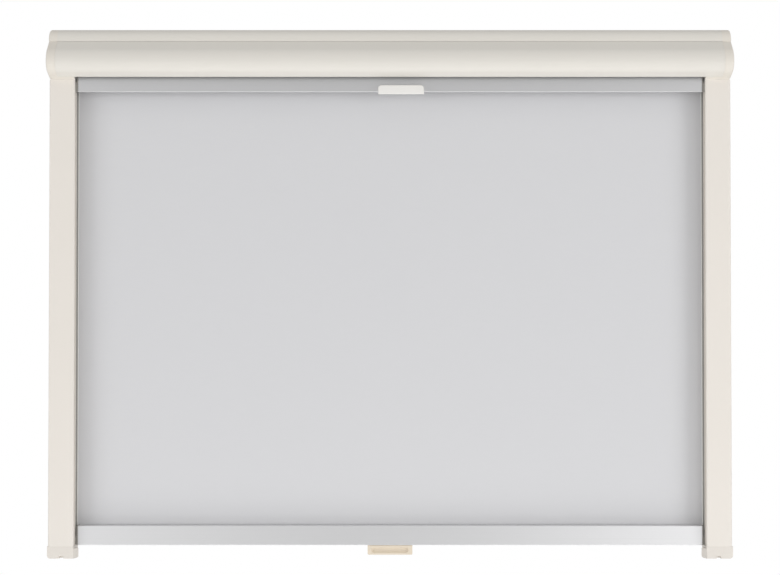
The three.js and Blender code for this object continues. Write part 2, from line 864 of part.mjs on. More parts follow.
// The hollow of a bar, or what fits in it when drawn with a wider wall
function chamber(depth, height, wall) {
  const [front, back, top] = [wall - depth / 2, depth / 2 - wall, chamberTop(height) + barWall - wall];
  return polygon([[front, wall], [front, top], [back, top], [back, wall]]);
}

function bottomBar(depth, height, hemY) {
  const section = barOutline(depth, height);
  section.holes.push(chamber(depth, height, barWall));
  const cutHalf = barHalf + overrun;
  const hemZ = height - hemDrop;
  const channel = rodX(hemChannelRadius, -cutHalf, cutHalf, hemY, hemZ);
  const half = hemSlotWidth / 2;
  const slot = box(-cutHalf, cutHalf, hemY - half, hemY + half, hemZ, height + overrun);
  return cut(alongX(section, -barHalf, barHalf), channel, slot);
}

function hemRod(height, hemY) {
  const half = barHalf - fitGap;
  return rodX(hemChannelRadius - fitGap, -half, half, hemY, height - hemDrop, screwSteps);
}

// A plug that closes a bar's end, with a spigot in the bar and a shoe that runs in the rail's slot
function barGlider(depth, height, shoeFromY, shoeToY) {
  const plateX = barHalf + fitGap;
  const middleX = plateX + barPlugWall / 2;
  const tipX = slotFloorX - shoeRunout;
  return joined(
    alongX(barOutline(depth, height), plateX, plateX + barPlugWall - fitGap),
    alongX(chamber(depth, height, barWall + fitGap), plateX - barSpigot, middleX),
    box(middleX, tipX, shoeFromY, shoeToY, runGap, shoeHeight),
  );
}

// The pull tab: a short hooked lip on the front of the screen bar
function pullTab() {
  const back = -screenBarDepth / 2 - fitGap;
  const front = back - tabProud;
  const bottom = -tabDrop;
  const top = bottom + tabHeight;
  const shares = {
    topBack: 0.94, topBend: 0.8, topFront: 0.92, faceFoot: 0.24, lipFoot: 0.9, lipBack: 0.72,
    hookIn: 0.52, hookTop: 0.42, neckIn: 0.3,
  };
  const at = (inShare, upShare) => [back - tabProud * inShare, bottom + tabHeight * upShare];
  const section = polygon([
    [back, bottom + tabHeight * shares.topBack],
    at(shares.topBend, 1),
    at(1, shares.topFront),
    [front, bottom + tabHeight * shares.faceFoot],
    at(shares.lipFoot, 0),
    at(shares.lipBack, 0),
    at(shares.hookIn, shares.hookTop),
    at(shares.neckIn, shares.hookTop),
    [back, bottom + tabHeight * shares.neckIn],
  ]);
  const [left, right] = [tabOffset - tabWidth / 2, tabOffset + tabWidth / 2];
  const corners = [[left, 1], [right, -1]].map(([x, turn]) => alongY(
    polygon([
      [x - turn * overrun, top + overrun],
      [x - turn * overrun, top - tabChamfer - overrun],
      [x + turn * (tabChamfer + overrun), top + overrun],
    ]),
    front - overrun,
    back + overrun,
  ));
  return cut(alongX(section, left, right), ...corners);
}

// The handle: a moulded grip with a long finger scoop in its front face
function pullHandle() {
  const [left, right] = [-handleWidth / 2, handleWidth / 2];
  const [top, bottom] = [-fitGap, -fitGap - handleHeight];
  const radius = handleRounding;
  const outline = new THREE.Shape();
  outline.moveTo(left, top);
  outline.lineTo(left, bottom + radius);
  outline.absarc(left + radius, bottom + radius, radius, Math.PI, 3 * Math.PI / 2);
  outline.absarc(right - radius, bottom + radius, radius, -Math.PI / 2, 0);
  outline.lineTo(right, top);
  const front = -blackoutBarDepth / 2;
  const block = alongY(outline, front, front + handleDepth, shankSteps);
  const scoopY = front - scoopProud;
  const scoopZ = top - scoopDrop;
  const scoopHalf = scoopWidth / 2 - scoopRadius;
  const trough = rodX(scoopRadius, -scoopHalf, scoopHalf, scoopY, scoopZ);
  const ends = [-scoopHalf, scoopHalf].map((x) =>
    new THREE.SphereGeometry(scoopRadius, 2 * roundSteps, roundSteps)
      .rotateZ(Math.PI / 2)
      .translate(x, scoopY, scoopZ));
  return cut(block, trough, ...ends);
}

// Sheets hang straight down from the back of their roll
const hangingSheet = (y, fromZ, toZ) =>
  box(-sheetHalf, sheetHalf, y - sheetThickness / 2, y + sheetThickness / 2, fromZ, toZ);

// Assembly
function add(parent, name, geometry, material) {
  const mesh = new THREE.Mesh(geometry, material);
  mesh.name = name;
  parent.add(mesh);
  return mesh;
}

function placedGroup(parent, x = 0, y = 0, z = 0) {
  const group = new THREE.Group();
  group.position.set(x, y, z);
  parent.add(group);
  return group;
}

function addCassette(blind) {
  add(blind, 'cassette_back', cassetteBack(), creamShell);
  add(blind, 'cassette_cover', cassetteCover(), creamShell);
  for (const side of sides) {
    const end = placedGroup(blind, side.sign * halfWidth);
    add(end, `end_cap_${side.name}`, sided(endCap(), side), creamMoulding);
    add(end, `end_cap_screw_${side.name}_rear`, sided(capScrew(cornerPort), side), steel);
    add(end, `end_cap_screw_${side.name}_front`, sided(capScrew(groovePort), side), steel);
    add(end, `roller_bracket_${side.name}`, sided(rollerBracket(), side), steel);
    add(end, `bracket_screw_${side.name}_upper`, sided(bracketScrew(upperBoss), side), steel);
    add(end, `bracket_screw_${side.name}_lower`, sided(bracketScrew(lowerBoss), side), steel);
  }
}

function addRails(blind) {
  for (const side of sides) {
    const rail = placedGroup(blind, side.sign * halfWidth);
    add(rail, `rail_base_${side.name}`, sided(railBase(), side), creamMoulding);
    add(rail, `rail_cover_${side.name}`, sided(railCover(), side), creamMoulding);
    add(rail, `side_seal_${side.name}`, sided(sideSeal(), side), sealGrey);
    add(rail, `foot_${side.name}`, sided(foot(), side), creamMoulding);
    add(rail, `foot_screw_${side.name}`, sided(footScrew(), side), steel);
    const screenCatch = catchLeaf(screenSlotFront, screenSlotBack);
    const blackoutCatch = catchLeaf(blackoutSlotFront, blackoutSlotBack);
    add(rail, `screen_catch_${side.name}`, sided(screenCatch, side), springSteel);
    add(rail, `blackout_catch_${side.name}`, sided(blackoutCatch, side), springSteel);
  }
}

function addRoller(blind, prefix, [y, z], build, rollMaterial) {
  const roller = placedGroup(blind, 0, y, z);
  add(roller, `${prefix}_roller_tube`, rollerTube(), tubeAluminium);
  add(roller, `${prefix}_roll`, rolledSheet(build), rollMaterial);
  add(roller, `${prefix}_spring_plug`, mirrored(rollerPlug(rodRadius + fitGap)), greyPlastic);
  add(roller, `${prefix}_idle_plug`, rollerPlug(pinRadius + fitGap), greyPlastic);
  add(roller, `${prefix}_spring_rod`, mirrored(axle(rodRadius, rodLength)), steel);
  add(roller, `${prefix}_idle_pin`, axle(pinRadius, pinLength), steel);
  add(roller, `${prefix}_return_spring`, returnSpring(), springSteel);
}

function addScreenBar(blind) {
  const bar = placedGroup(blind, 0, screenBarY, screenBarBottomZ);
  const shoe = screenSlotWidth / 2 - runGap;
  add(bar, 'screen_bar', bottomBar(screenBarDepth, screenBarHeight, 0), silverBar);
  add(bar, 'screen_hem_rod', hemRod(screenBarHeight, 0), whitePlastic);
  add(bar, 'screen_pull_tab', pullTab(), whitePlastic);
  for (const side of sides) {
    const glider = barGlider(screenBarDepth, screenBarHeight, -shoe, shoe);
    add(bar, `screen_glider_${side.name}`, sided(glider, side), greyPlastic);
  }
}

function addBlackoutBar(blind) {
  const bar = placedGroup(blind, 0, blackoutBarY, blackoutBarBottomZ);
  const hemY = blackoutSheetY - blackoutBarY;
  const shoeFromY = railFrontY + blackoutSlotFront + runGap - blackoutBarY;
  const shoeToY = railFrontY + blackoutSlotBack - runGap - blackoutBarY;
  add(bar, 'blackout_bar', bottomBar(blackoutBarDepth, blackoutBarHeight, hemY), silverBar);
  add(bar, 'blackout_hem_rod', hemRod(blackoutBarHeight, hemY), whitePlastic);
  add(bar, 'blackout_handle', pullHandle(), handleCream);
  for (const side of sides) {
    const glider = barGlider(blackoutBarDepth, blackoutBarHeight, shoeFromY, shoeToY);
    add(bar, `blackout_glider_${side.name}`, sided(glider, side), greyPlastic);
  }
}

function addSheets(blind) {
  const screenTopZ = screenBarBottomZ + screenBarHeight + fitGap;
  const blackoutTopZ = blackoutBarBottomZ + blackoutBarHeight + fitGap;
  add(blind, 'screen_sheet', hangingSheet(screenBarY, screenTopZ, screenRollerZ), meshGrey);
  add(blind, 'blackout_sheet', hangingSheet(blackoutSheetY, blackoutTopZ, blackoutRollerZ), sheetGrey);
}

const blind = new THREE.Group();
blind.name = 'day_and_night_roller_blind';
addCassette(blind);
addRails(blind);
addRoller(blind, 'blackout', blackoutAxis, blackoutRollBuild, sheetGrey);
addRoller(blind, 'screen', screenAxis, screenRollBuild, meshGrey);
addScreenBar(blind);
addBlackoutBar(blind);
addSheets(blind);

export default blind;
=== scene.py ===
"""Day and night roller blind: the finished look of every piece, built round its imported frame.

Meshes are modelled in millimetres and brought to metres when each piece is finished. X runs to the
right, Y to the wall behind, Z up, from the middle of the cassette's rear face.
"""

import logging
import math
from collections.abc import Callable, Sequence
from dataclasses import dataclass
from enum import Enum

import bmesh
import bpy
from mathutils import Matrix, Vector


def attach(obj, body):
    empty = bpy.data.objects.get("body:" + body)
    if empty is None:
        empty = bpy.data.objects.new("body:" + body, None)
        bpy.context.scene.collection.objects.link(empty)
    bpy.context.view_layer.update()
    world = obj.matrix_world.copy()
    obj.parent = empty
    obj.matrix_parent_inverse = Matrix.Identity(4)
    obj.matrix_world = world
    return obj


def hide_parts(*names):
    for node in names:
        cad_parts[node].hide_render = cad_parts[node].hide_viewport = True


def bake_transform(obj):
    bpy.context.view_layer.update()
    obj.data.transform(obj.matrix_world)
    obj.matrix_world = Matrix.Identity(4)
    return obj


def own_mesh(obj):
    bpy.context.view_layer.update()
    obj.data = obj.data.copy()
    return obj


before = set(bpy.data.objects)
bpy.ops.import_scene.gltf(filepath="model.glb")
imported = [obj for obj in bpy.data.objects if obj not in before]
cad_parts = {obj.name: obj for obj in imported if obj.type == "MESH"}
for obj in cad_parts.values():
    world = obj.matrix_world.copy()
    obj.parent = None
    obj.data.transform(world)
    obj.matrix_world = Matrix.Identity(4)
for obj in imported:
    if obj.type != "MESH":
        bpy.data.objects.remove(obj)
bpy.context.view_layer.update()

log = logging.getLogger("blind")

MM = 0.001  # in metres; all the lengths below it are in millimetres
FIT = 0.3  # play between pieces
SEAM = 0.06  # the gap at a closed joint
OVERRUN = 2.0  # how far a cutting tool reaches past what it cuts
DOUBLED = 0.0005  # points closer than this are one
NEAR = 0.01  # points closer than this to a plane lie in it
FINE = 14  # facets on a smooth arc
ROUND = 24  # facets on a whole round
WIDE = 64  # facets on a wide round
BORE = 16  # facets on a screw's bore
CORNER = 6  # facets on a rounded corner
SWEEP = 8  # facets on a wider corner
EDGE = 4  # facets on a bar's small corner
WAVE = 20  # radians that the wave texture turns in each unit of its scale
SHARP = math.radians(38)

Place = tuple[float, float]
Triple = tuple[float, float, float]
Colour = tuple[float, ...]
Socket = bpy.types.NodeSocket


# Drawing sections and making solids


def placed(name: str, data: bpy.types.ID) -> bpy.types.Object:
    """Makes an object and puts it in the scene."""
    made = bpy.data.objects.new(name, data)
    bpy.context.scene.collection.objects.link(made)
    return made


def points(geometry: list) -> list[bmesh.types.BMVert]:
    """Picks the points out of mixed geometry."""
    return [g for g in geometry if isinstance(g, bmesh.types.BMVert)]


def at_x(x: float) -> Callable[["bmesh.types.BMEdge | bmesh.types.BMFace"], bool]:
    """Gives a test for edges or faces that lie wholly at a place in X."""
    return lambda part: all(abs(v.co.x - x) < NEAR for v in part.verts)


class Along(Enum):
    """The axis that a section is drawn out along."""

    X = "X"
    Y = "Y"
    Z = "Z"

    def place(self, u: float, v: float, w: float) -> Vector:
        """Gives the point at w along the axis, and u, v across it: Y, Z for X; X, Z for Y; X, Y for Z."""
        return Vector({"X": (w, u, v), "Y": (u, w, v), "Z": (u, v, w)}[self.value])

    def turning(self) -> Vector:
        """Gives the axis about which u turns towards v."""
        return Vector({"X": (1, 0, 0), "Y": (0, -1, 0), "Z": (0, 0, 1)}[self.value])


class Solid:
    """A closed mesh in millimetres, on its way to being a finished piece."""

    def __init__(self, bm: bmesh.types.BMesh) -> None:
        """Takes over a closed mesh."""
        self.bm = bm

    def tidied(self) -> "Solid":
        """Merges doubled points and turns every face outwards."""
        bmesh.ops.remove_doubles(self.bm, verts=self.bm.verts[:], dist=DOUBLED)
        bmesh.ops.recalc_face_normals(self.bm, faces=self.bm.faces[:])
        return self

    def mesh(self, name: str) -> bpy.types.Mesh:
        """Hands the solid over as a Blender mesh."""
        made = bpy.data.meshes.new(name)
        self.bm.to_mesh(made)
        self.bm.free()
        return made

    def moved(self, x: float, y: float, z: float) -> "Solid":
        """Shifts the solid."""
        bmesh.ops.translate(self.bm, vec=(x, y, z), verts=self.bm.verts[:])
        return self

    def mirrored(self) -> "Solid":
        """Turns a right-hand piece into its left-hand one."""
        bmesh.ops.scale(self.bm, vec=(-1, 1, 1), verts=self.bm.verts[:])
        bmesh.ops.reverse_faces(self.bm, faces=self.bm.faces[:])
        return self

    def sided(self, left: bool) -> "Solid":
        """Keeps a right-hand piece, or mirrors it for the left."""
        return self.mirrored() if left else self

    def rounded(self, radius: float, segments: int, chosen: Callable[[bmesh.types.BMEdge], bool]) -> "Solid":
        """Rounds the edges that a test picks, with so many facets across the rounding."""
        bmesh.ops.bevel(
            self.bm,
            geom=[edge for edge in self.bm.edges if chosen(edge)],
            offset=radius,
            offset_type="OFFSET",
            segments=segments,
            profile=0.5,
            affect="EDGES",
            material=-1,
            loop_slide=False,
        )
        return self

    def hollowed(self, wall: float, depth: Triple, chosen: Callable[[bmesh.types.BMFace], bool]) -> "Solid":
        """Sinks the inside of the faces that a test picks, and leaves a wall round it.

        Args:
            wall: How thick the wall is.
            depth: Which way and how far the floor is sunk.
            chosen: A test on a face.

        Returns:
            The same solid.
        """
        faces = [face for face in self.bm.faces if chosen(face)]
        bmesh.ops.inset_region(self.bm, faces=faces, thickness=wall, use_even_offset=True)
        sunk = bmesh.ops.extrude_face_region(self.bm, geom=faces)
        bmesh.ops.translate(self.bm, vec=depth, verts=points(sunk["geom"]))
        bmesh.ops.delete(self.bm, geom=[face for face in faces if face.is_valid], context="FACES_ONLY")
        return self

    def with_parts(self, *others: "Solid") -> "Solid":
        """Sets other solids in the same piece, where they overlap it as welded parts do."""
        for other in others:
            self.bm.from_mesh(other.mesh("part"))
        return self

    def worked(self, operation: str, *tools: "Solid") -> "Solid":
        """Joins or cuts the solid with tools, face by face.

        Args:
            operation: UNION or DIFFERENCE.
            *tools: Closed solids.

        Returns:
            The worked solid.
        """
        target = placed("blank", self.mesh("blank"))
        helpers = [placed("tool", tool.mesh("tool")) for tool in tools]
        for helper in helpers:
            step = target.modifiers.new("work", "BOOLEAN")
            step.operation = operation
            step.solver = "EXACT"
            step.object = helper
        bpy.context.view_layer.update()
        seen = target.evaluated_get(bpy.context.evaluated_depsgraph_get())
        self.bm = bmesh.new()
        self.bm.from_mesh(seen.to_mesh())
        for spent in [target, *helpers]:
            bpy.data.objects.remove(spent)
        return self

    def cut(self, *tools: "Solid") -> "Solid":
        """Cuts tools out of the solid."""
        return self.worked("DIFFERENCE", *tools)

    def fused(self, *others: "Solid") -> "Solid":
        """Joins others to the solid with no inner walls."""
        return self.worked("UNION", *others)


class Section:
    """An outline drawn with a pen across an axis, then drawn out into a solid."""

    def __init__(self, along: Along, at: float) -> None:
        """Takes a clean sheet at a place on the axis."""
        self.along, self.at = along, at
        self.bm = bmesh.new()
        self.pen = None
        self.first = None
        self.loops = 0

    def start(self, u: float, v: float) -> "Section":
        """Sets the pen down."""
        self.first = self.pen = self.bm.verts.new(self.along.place(u, v, self.at))
        return self

    def line(self, *places: Place) -> "Section":
        """Draws straight on through each place."""
        for u, v in places:
            following = self.bm.verts.new(self.along.place(u, v, self.at))
            self.bm.edges.new((self.pen, following))
            self.pen = following
        return self

    def arc(self, centre: Place, degrees: float, steps: int) -> "Section":
        """Swings the pen round a centre, from u towards v, in so many facets."""
        swung = bmesh.ops.spin(
            self.bm,
            geom=[self.pen],
            cent=self.along.place(*centre, self.at),
            axis=self.along.turning(),
            angle=math.radians(degrees),
            steps=steps,
            use_duplicate=False,
        )
        self.pen = points(swung["geom_last"])[0]
        return self

    def close(self) -> "Section":
        """Draws back to the start."""
        if (self.pen.co - self.first.co).length > 2 * DOUBLED:
            self.bm.edges.new((self.pen, self.first))
        self.loops += 1
        return self

    def circle(self, centre: Place, radius: float, steps: int = ROUND) -> "Section":
        """Adds a whole circle, as an outline or a hole."""
        self.start(centre[0] + radius, centre[1])
        return self.arc(centre, 360, steps).close()

    def polygon(self, *places: Place) -> "Section":
        """Adds a straight-sided outline or hole."""
        return self.start(*places[0]).line(*places[1:]).close()

    def drawn_to(self, to: float) -> Solid:
        """Fills the outline and draws it out to a place on the axis."""
        bm = self.bm
        bmesh.ops.remove_doubles(bm, verts=bm.verts[:], dist=DOUBLED)
        if self.loops == 1:
            bmesh.ops.edgeloop_fill(bm, edges=bm.edges[:])
        else:
            bmesh.ops.triangle_fill(bm, edges=bm.edges[:], use_beauty=True)
        grown = bmesh.ops.extrude_face_region(bm, geom=bm.faces[:])
        way = self.along.place(0, 0, to - self.at)
        bmesh.ops.translate(bm, vec=way, verts=points(grown["geom"]))
        return Solid(bm).tidied()


def box(xs: Place, ys: Place, zs: Place) -> Solid:
    """Makes a plain block from its two ends in X, in Y and in Z."""
    bm = bmesh.new()
    bmesh.ops.create_cube(bm, size=1.0)
    bmesh.ops.scale(bm, vec=[high - low for low, high in (xs, ys, zs)], verts=bm.verts[:])
    bmesh.ops.translate(bm, vec=[(low + high) / 2 for low, high in (xs, ys, zs)], verts=bm.verts[:])
    return Solid(bm).tidied()


def rod(along: Along, centre: Place, radius: float, start: float, end: float, steps: int = ROUND) -> Solid:
    """Makes a round bar along an axis."""
    return Section(along, start).circle(centre, radius, steps).drawn_to(end)


def rods(
    places: Sequence[Place], radius: float, start: float, end: float, steps: int = ROUND
) -> list[Solid]:
    """Makes round bars along X, one at each place."""
    return [rod(Along.X, place, radius, start, end, steps) for place in places]


def square(centre: Place, half: float, start: float, end: float) -> Solid:
    """Makes a square bar along X."""
    return box((start, end), *((c - half, c + half) for c in centre))


def turned(centre: Place, profile: list[Place], steps: int = 36) -> Solid:
    """Turns a profile about a line along X, as on a lathe.

    Args:
        centre: The line's Y and Z.
        profile: (x, radius) places from one end of the axis round to the other.
        steps: Facets round.

    Returns:
        The turned solid.
    """
    bm = bmesh.new()
    y, z = centre
    ring = [bm.verts.new((x, y, z + radius)) for x, radius in profile]
    edges = [bm.edges.new(pair) for pair in zip(ring, ring[1:])]
    if profile[0][1] > 0:
        edges.append(bm.edges.new((ring[-1], ring[0])))
    bmesh.ops.spin(
        bm,
        geom=[*ring, *edges],
        cent=(0, y, z),
        axis=(1, 0, 0),
        angle=math.tau,
        steps=steps,
        use_merge=True,
        use_duplicate=False,
    )
    return Solid(bm).tidied()


def coil(centre: Place, radius: float, wire: float, start: float, pitch: float, turns: float) -> Solid:
    """Winds a round wire about a line along X.

    Args:
        centre: The line's Y and Z.
        radius: From the line to the middle of the wire.
        wire: The wire's diameter.
        start: Where the first turn starts in X.
        pitch: From turn to turn.
        turns: How many.

    Returns:
        The wound wire, closed at both ends.
    """
    bm = bmesh.new()
    steps = int(turns * ROUND)
    y, z = centre
    lying = Matrix.Translation((start, y, z + radius)) @ Matrix.Rotation(math.pi / 2, 4, "X")
    bmesh.ops.create_circle(bm, cap_ends=True, segments=8, radius=wire / 2, matrix=lying)
    bmesh.ops.spin(
        bm,
        geom=bm.faces[:],
        cent=(0, y, z),
        axis=(1, 0, 0),
        dvec=(pitch * turns / steps, 0, 0),
        angle=math.tau * turns,
        steps=steps,
        use_duplicate=False,
    )
    return Solid(bm).tidied()


# Finishes


def shade(*screen: int) -> Colour:
    """Gives a screen colour of 0 to 255 as the linear one that a shader takes."""
    shares = [value / 255 for value in screen]
    linear = [c / 12.92 if c <= 0.04045 else ((c + 0.055) / 1.055) ** 2.4 for c in shares]
    return (*linear, 1.0)


class Nodes:
    """A node tree, built a node at a time."""

    def __init__(self, tree: bpy.types.NodeTree) -> None:
        """Takes the tree to build in."""
        self.tree = tree

    def feed(self, target: Socket, value: object) -> None:
        """Joins an input to a socket, or sets it to a value."""
        if isinstance(value, Socket):
            self.tree.links.new(value, target)
        else:
            target.default_value = value

    def node(self, kind: str, inputs: "dict[str | int, object] | None" = None) -> bpy.types.Node:
        """Adds a shader node, with what each input is joined to or set to."""
        made = self.tree.nodes.new(f"ShaderNode{kind}")
        for key, value in (inputs or {}).items():
            self.feed(made.inputs[key], value)
        return made

    def by_eye(self, lighting: Socket, seen: Socket) -> Socket:
        """Gives one shader to the camera's rays and another to all the rest."""
        camera = self.node("LightPath").outputs["Is Camera Ray"]
        return self.node("MixShader", {"Fac": camera, 1: lighting, 2: seen}).outputs[0]


class Surface(Nodes):
    """A material's tree: its patterns, and the surface shader that they feed."""

    def __init__(self, name: str) -> None:
        """Opens a new material with a surface shader."""
        self.material = bpy.data.materials.new(name)
        self.material.use_nodes = True
        super().__init__(self.material.node_tree)
        self.shader = self.tree.nodes["Principled BSDF"]
        self.output = self.tree.nodes["Material Output"]
        self.where = self.node("TexCoord").outputs["Object"]

    def given(self, name: str, value: object) -> None:
        """Joins or sets an input of the surface shader."""
        self.feed(self.shader.inputs[name], value)

    def noise(self, scale: Triple, detail: float = 2.0) -> Socket:
        """Gives cloudy grain, so many grains to the metre along each axis."""
        where = self.node("Mapping", {"Scale": scale, "Vector": self.where}).outputs["Vector"]
        return self.node("TexNoise", {"Scale": 1.0, "Detail": detail, "Vector": where}).outputs["Fac"]

    def threads(self, direction: str, pitch: float) -> Socket:
        """Gives rounded threads, 0 to 1, that follow one another along X or Z at a pitch in metres."""
        scale = math.tau / (WAVE * pitch)
        made = self.node("TexWave", {"Scale": scale, "Distortion": 0.0, "Vector": self.where})
        made.bands_direction = direction
        return made.outputs["Fac"]

    def ranged(self, source: Socket, middle: float, spread: float) -> Socket:
        """Maps 0 to 1 onto a range about a middle."""
        inputs = {"To Min": middle - spread, "To Max": middle + spread, "Value": source}
        return self.node("MapRange", inputs).outputs["Result"]

    def maths(self, kind: str, one: Socket, two: "Socket | float") -> Socket:
        """Works on one value with another, or with a number."""
        made = self.node("Math", {0: one, 1: two})
        made.operation = kind
        return made.outputs["Value"]

    def tinted(self, colour: Colour, other: Colour, amount: Socket) -> None:
        """Colours the surface between two colours."""
        made = self.node("Mix")
        made.data_type = "RGBA"
        ends = [s for s in made.inputs if s.type == "RGBA"]
        ends[0].default_value, ends[1].default_value = colour, other
        self.feed(made.inputs["Factor"], amount)
        self.given("Base Color", next(s for s in made.outputs if s.type == "RGBA"))

    def bumped(self, height: Socket, depth: float, strength: float) -> None:
        """Raises the surface by a height of 0 to 1, where 1 stands so many metres high."""
        made = self.node("Bump", {"Strength": strength, "Distance": depth, "Height": height})
        self.given("Normal", made.outputs["Normal"])


@dataclass(frozen=True)
class Finish:
    """A surface finish, and the material slot that it belongs to."""

    slot: str
    colour: tuple[int, int, int]
    roughness: float = 0.45
    metallic: float = 0.0

    def darker(self, share: float) -> Colour:
        """Gives the finish's colour at a share of its brightness."""
        red, green, blue, alpha = shade(*self.colour)
        return (red * share, green * share, blue * share, alpha)

    def dress(self, surface: Surface) -> None:
        """Adds colour and relief to the surface: each kind of finish says how."""
        raise NotImplementedError

    def material(self) -> bpy.types.Material:
        """Makes the material."""
        surface = Surface(self.slot)
        surface.given("Metallic", self.metallic)
        surface.given("Roughness", self.roughness)
        self.dress(surface)
        return surface.material


@dataclass(frozen=True)
class Coated(Finish):
    """Powder coat or moulded plastic: a fine even texture and a faint drift in tone."""

    grain: float = 1400.0
    depth: float = 0.00002
    strength: float = 0.5
    drift: float = 0.97
    drift_size: Triple = (7, 7, 7)
    sheen_size: Triple = (90, 90, 90)
    sheen_range: float = 0.05

    def dress(self, surface: Surface) -> None:
        """Adds the coat."""
        surface.tinted(shade(*self.colour), self.darker(self.drift), surface.noise(self.drift_size))
        surface.bumped(surface.noise((self.grain,) * 3, 3.0), self.depth, self.strength)
        sheen = surface.noise(self.sheen_size)
        surface.given("Roughness", surface.ranged(sheen, self.roughness, self.sheen_range))


@dataclass(frozen=True)
class Drawn(Finish):
    """Metal with fine lines along X from drawing and anodising."""

    lines: float = 3200.0
    line_shade: float = 0.93
    sheen_range: float = 0.07
    depth: float = 0.00001
    strength: float = 0.35

    def dress(self, surface: Surface) -> None:
        """Adds the drawn metal."""
        streaks = surface.noise((5, self.lines, self.lines))
        surface.tinted(shade(*self.colour), self.darker(self.line_shade), streaks)
        surface.given("Roughness", surface.ranged(streaks, self.roughness, self.sheen_range))
        surface.bumped(surface.noise((8, self.lines, self.lines), 1.0), self.depth, self.strength)


@dataclass(frozen=True)
class Woven(Finish):
    """Blackout cloth: fine warp and weft under a soft coating."""

    pitch: float = 0.0005
    relief: float = 0.00004
    strength: float = 0.4
    thread_shade: float = 0.94
    slubs: Triple = (60, 60, 400)
    fuzz: float = 0.15

    def dress(self, surface: Surface) -> None:
        """Adds the cloth."""
        surface.given("Sheen Weight", self.fuzz)
        weave = surface.maths("MULTIPLY", surface.threads("X", self.pitch), surface.threads("Z", self.pitch))
        uneven = surface.maths("MULTIPLY", weave, surface.noise(self.slubs, 3.0))
        surface.tinted(shade(*self.colour), self.darker(self.thread_shade), uneven)
        surface.bumped(weave, self.relief, self.strength)


@dataclass(frozen=True)
class Wound(Finish):
    """Insect screen wound on a roller: strands, with nothing clear between them, and painted shade in the
    gaps for the shaded layers beneath.
    """

    pitch: float = 0.0014
    relief: float = 0.0001
    strength: float = 0.5
    # painted shade: the share of the colour left in the gaps between the strands
    painted_gap_shade: float = 0.6

    def strands(self, surface: Surface) -> Socket:
        """Colours and raises the strands, with painted shade darkening them towards the gaps, and gives
        their height.
        """
        height = surface.maths("MAXIMUM", surface.threads("X", self.pitch), surface.threads("Z", self.pitch))
        surface.tinted(self.darker(self.painted_gap_shade), shade(*self.colour), height)
        surface.bumped(height, self.relief, self.strength)
        return height

    def dress(self, surface: Surface) -> None:
        """Adds the strands."""
        self.strands(surface)


@dataclass(frozen=True)
class Netted(Wound):
    """Insect screen hanging: dark strands with clear holes between them, and painted shade along the
    strands' edges.
    """

    strength: float = 0.6
    # painted shade along the strands' edges, where the holes open
    painted_gap_shade: float = 0.8
    hole_below: float = 0.62

    def dress(self, surface: Surface) -> None:
        """Opens the holes between the strands."""
        solid = surface.maths("GREATER_THAN", self.strands(surface), self.hole_below)
        surface.given("Alpha", solid)


@dataclass(frozen=True)
class Piled(Finish):
    """A seal strip: grey pile, paler along its inner edge."""

    # the paler colour along the inner edge, and how near the middle it starts
    pale_edge: tuple[int, int, int] = (228, 228, 226)
    pale_edge_within: float = 0.4217
    pile: float = 900.0
    pile_shade: float = 0.9
    tuft_light: float = 0.2
    depth: float = 0.00008
    strength: float = 0.6

    def dress(self, surface: Surface) -> None:
        """Adds the seal."""
        across = surface.node("SeparateXYZ", {0: surface.where}).outputs["X"]
        pale_edge = surface.maths("LESS_THAN", surface.maths("ABSOLUTE", across, 0.0), self.pale_edge_within)
        tufts = surface.noise((self.pile,) * 3)
        pale = surface.maths("MAXIMUM", pale_edge, surface.maths("MULTIPLY", tufts, self.tuft_light))
        surface.tinted(self.darker(self.pile_shade), shade(*self.pale_edge), pale)
        surface.bumped(tufts, self.depth, self.strength)


@dataclass(frozen=True)
class Finishes:
    """Every finish of the blind."""

    shell: Finish = Coated("cream_shell", (233, 229, 221), 0.42)
    rail: Finish = Coated("cream_rail", (236, 230, 222), 0.45)
    moulding: Finish = Coated("cream_moulding", (235, 229, 219), 0.5, grain=900.0, depth=0.00004)
    foot: Finish = Coated("cream_moulding", (229, 223, 215), 0.5, grain=900.0, depth=0.00004)
    bar: Finish = Drawn("silver_bar", (237, 237, 238), 0.4, 1.0)
    tube: Finish = Drawn("roller_tube", (205, 206, 208), 0.38, 1.0)
    grey: Finish = Coated("grey_plastic", (158, 155, 149), 0.5, grain=900.0)
    white: Finish = Coated("white_plastic", (240, 238, 234), 0.38)
    handle: Finish = Coated("handle_cream", (231, 218, 198), 0.32)
    seal: Finish = Piled("seal_grey", (158, 156, 152), 0.8)
    cloth: Finish = Woven("blackout_fabric", (216, 216, 218), 0.85)
    net: Finish = Netted("screen_mesh", (58, 60, 63), 0.75)
    net_roll: Finish = Wound("screen_mesh", (58, 60, 63), 0.75)
    steel: Finish = Drawn("steel", (190, 192, 195), 0.3, 1.0, lines=900.0)
    spring: Finish = Drawn("spring_steel", (150, 152, 156), 0.25, 1.0, lines=700.0)


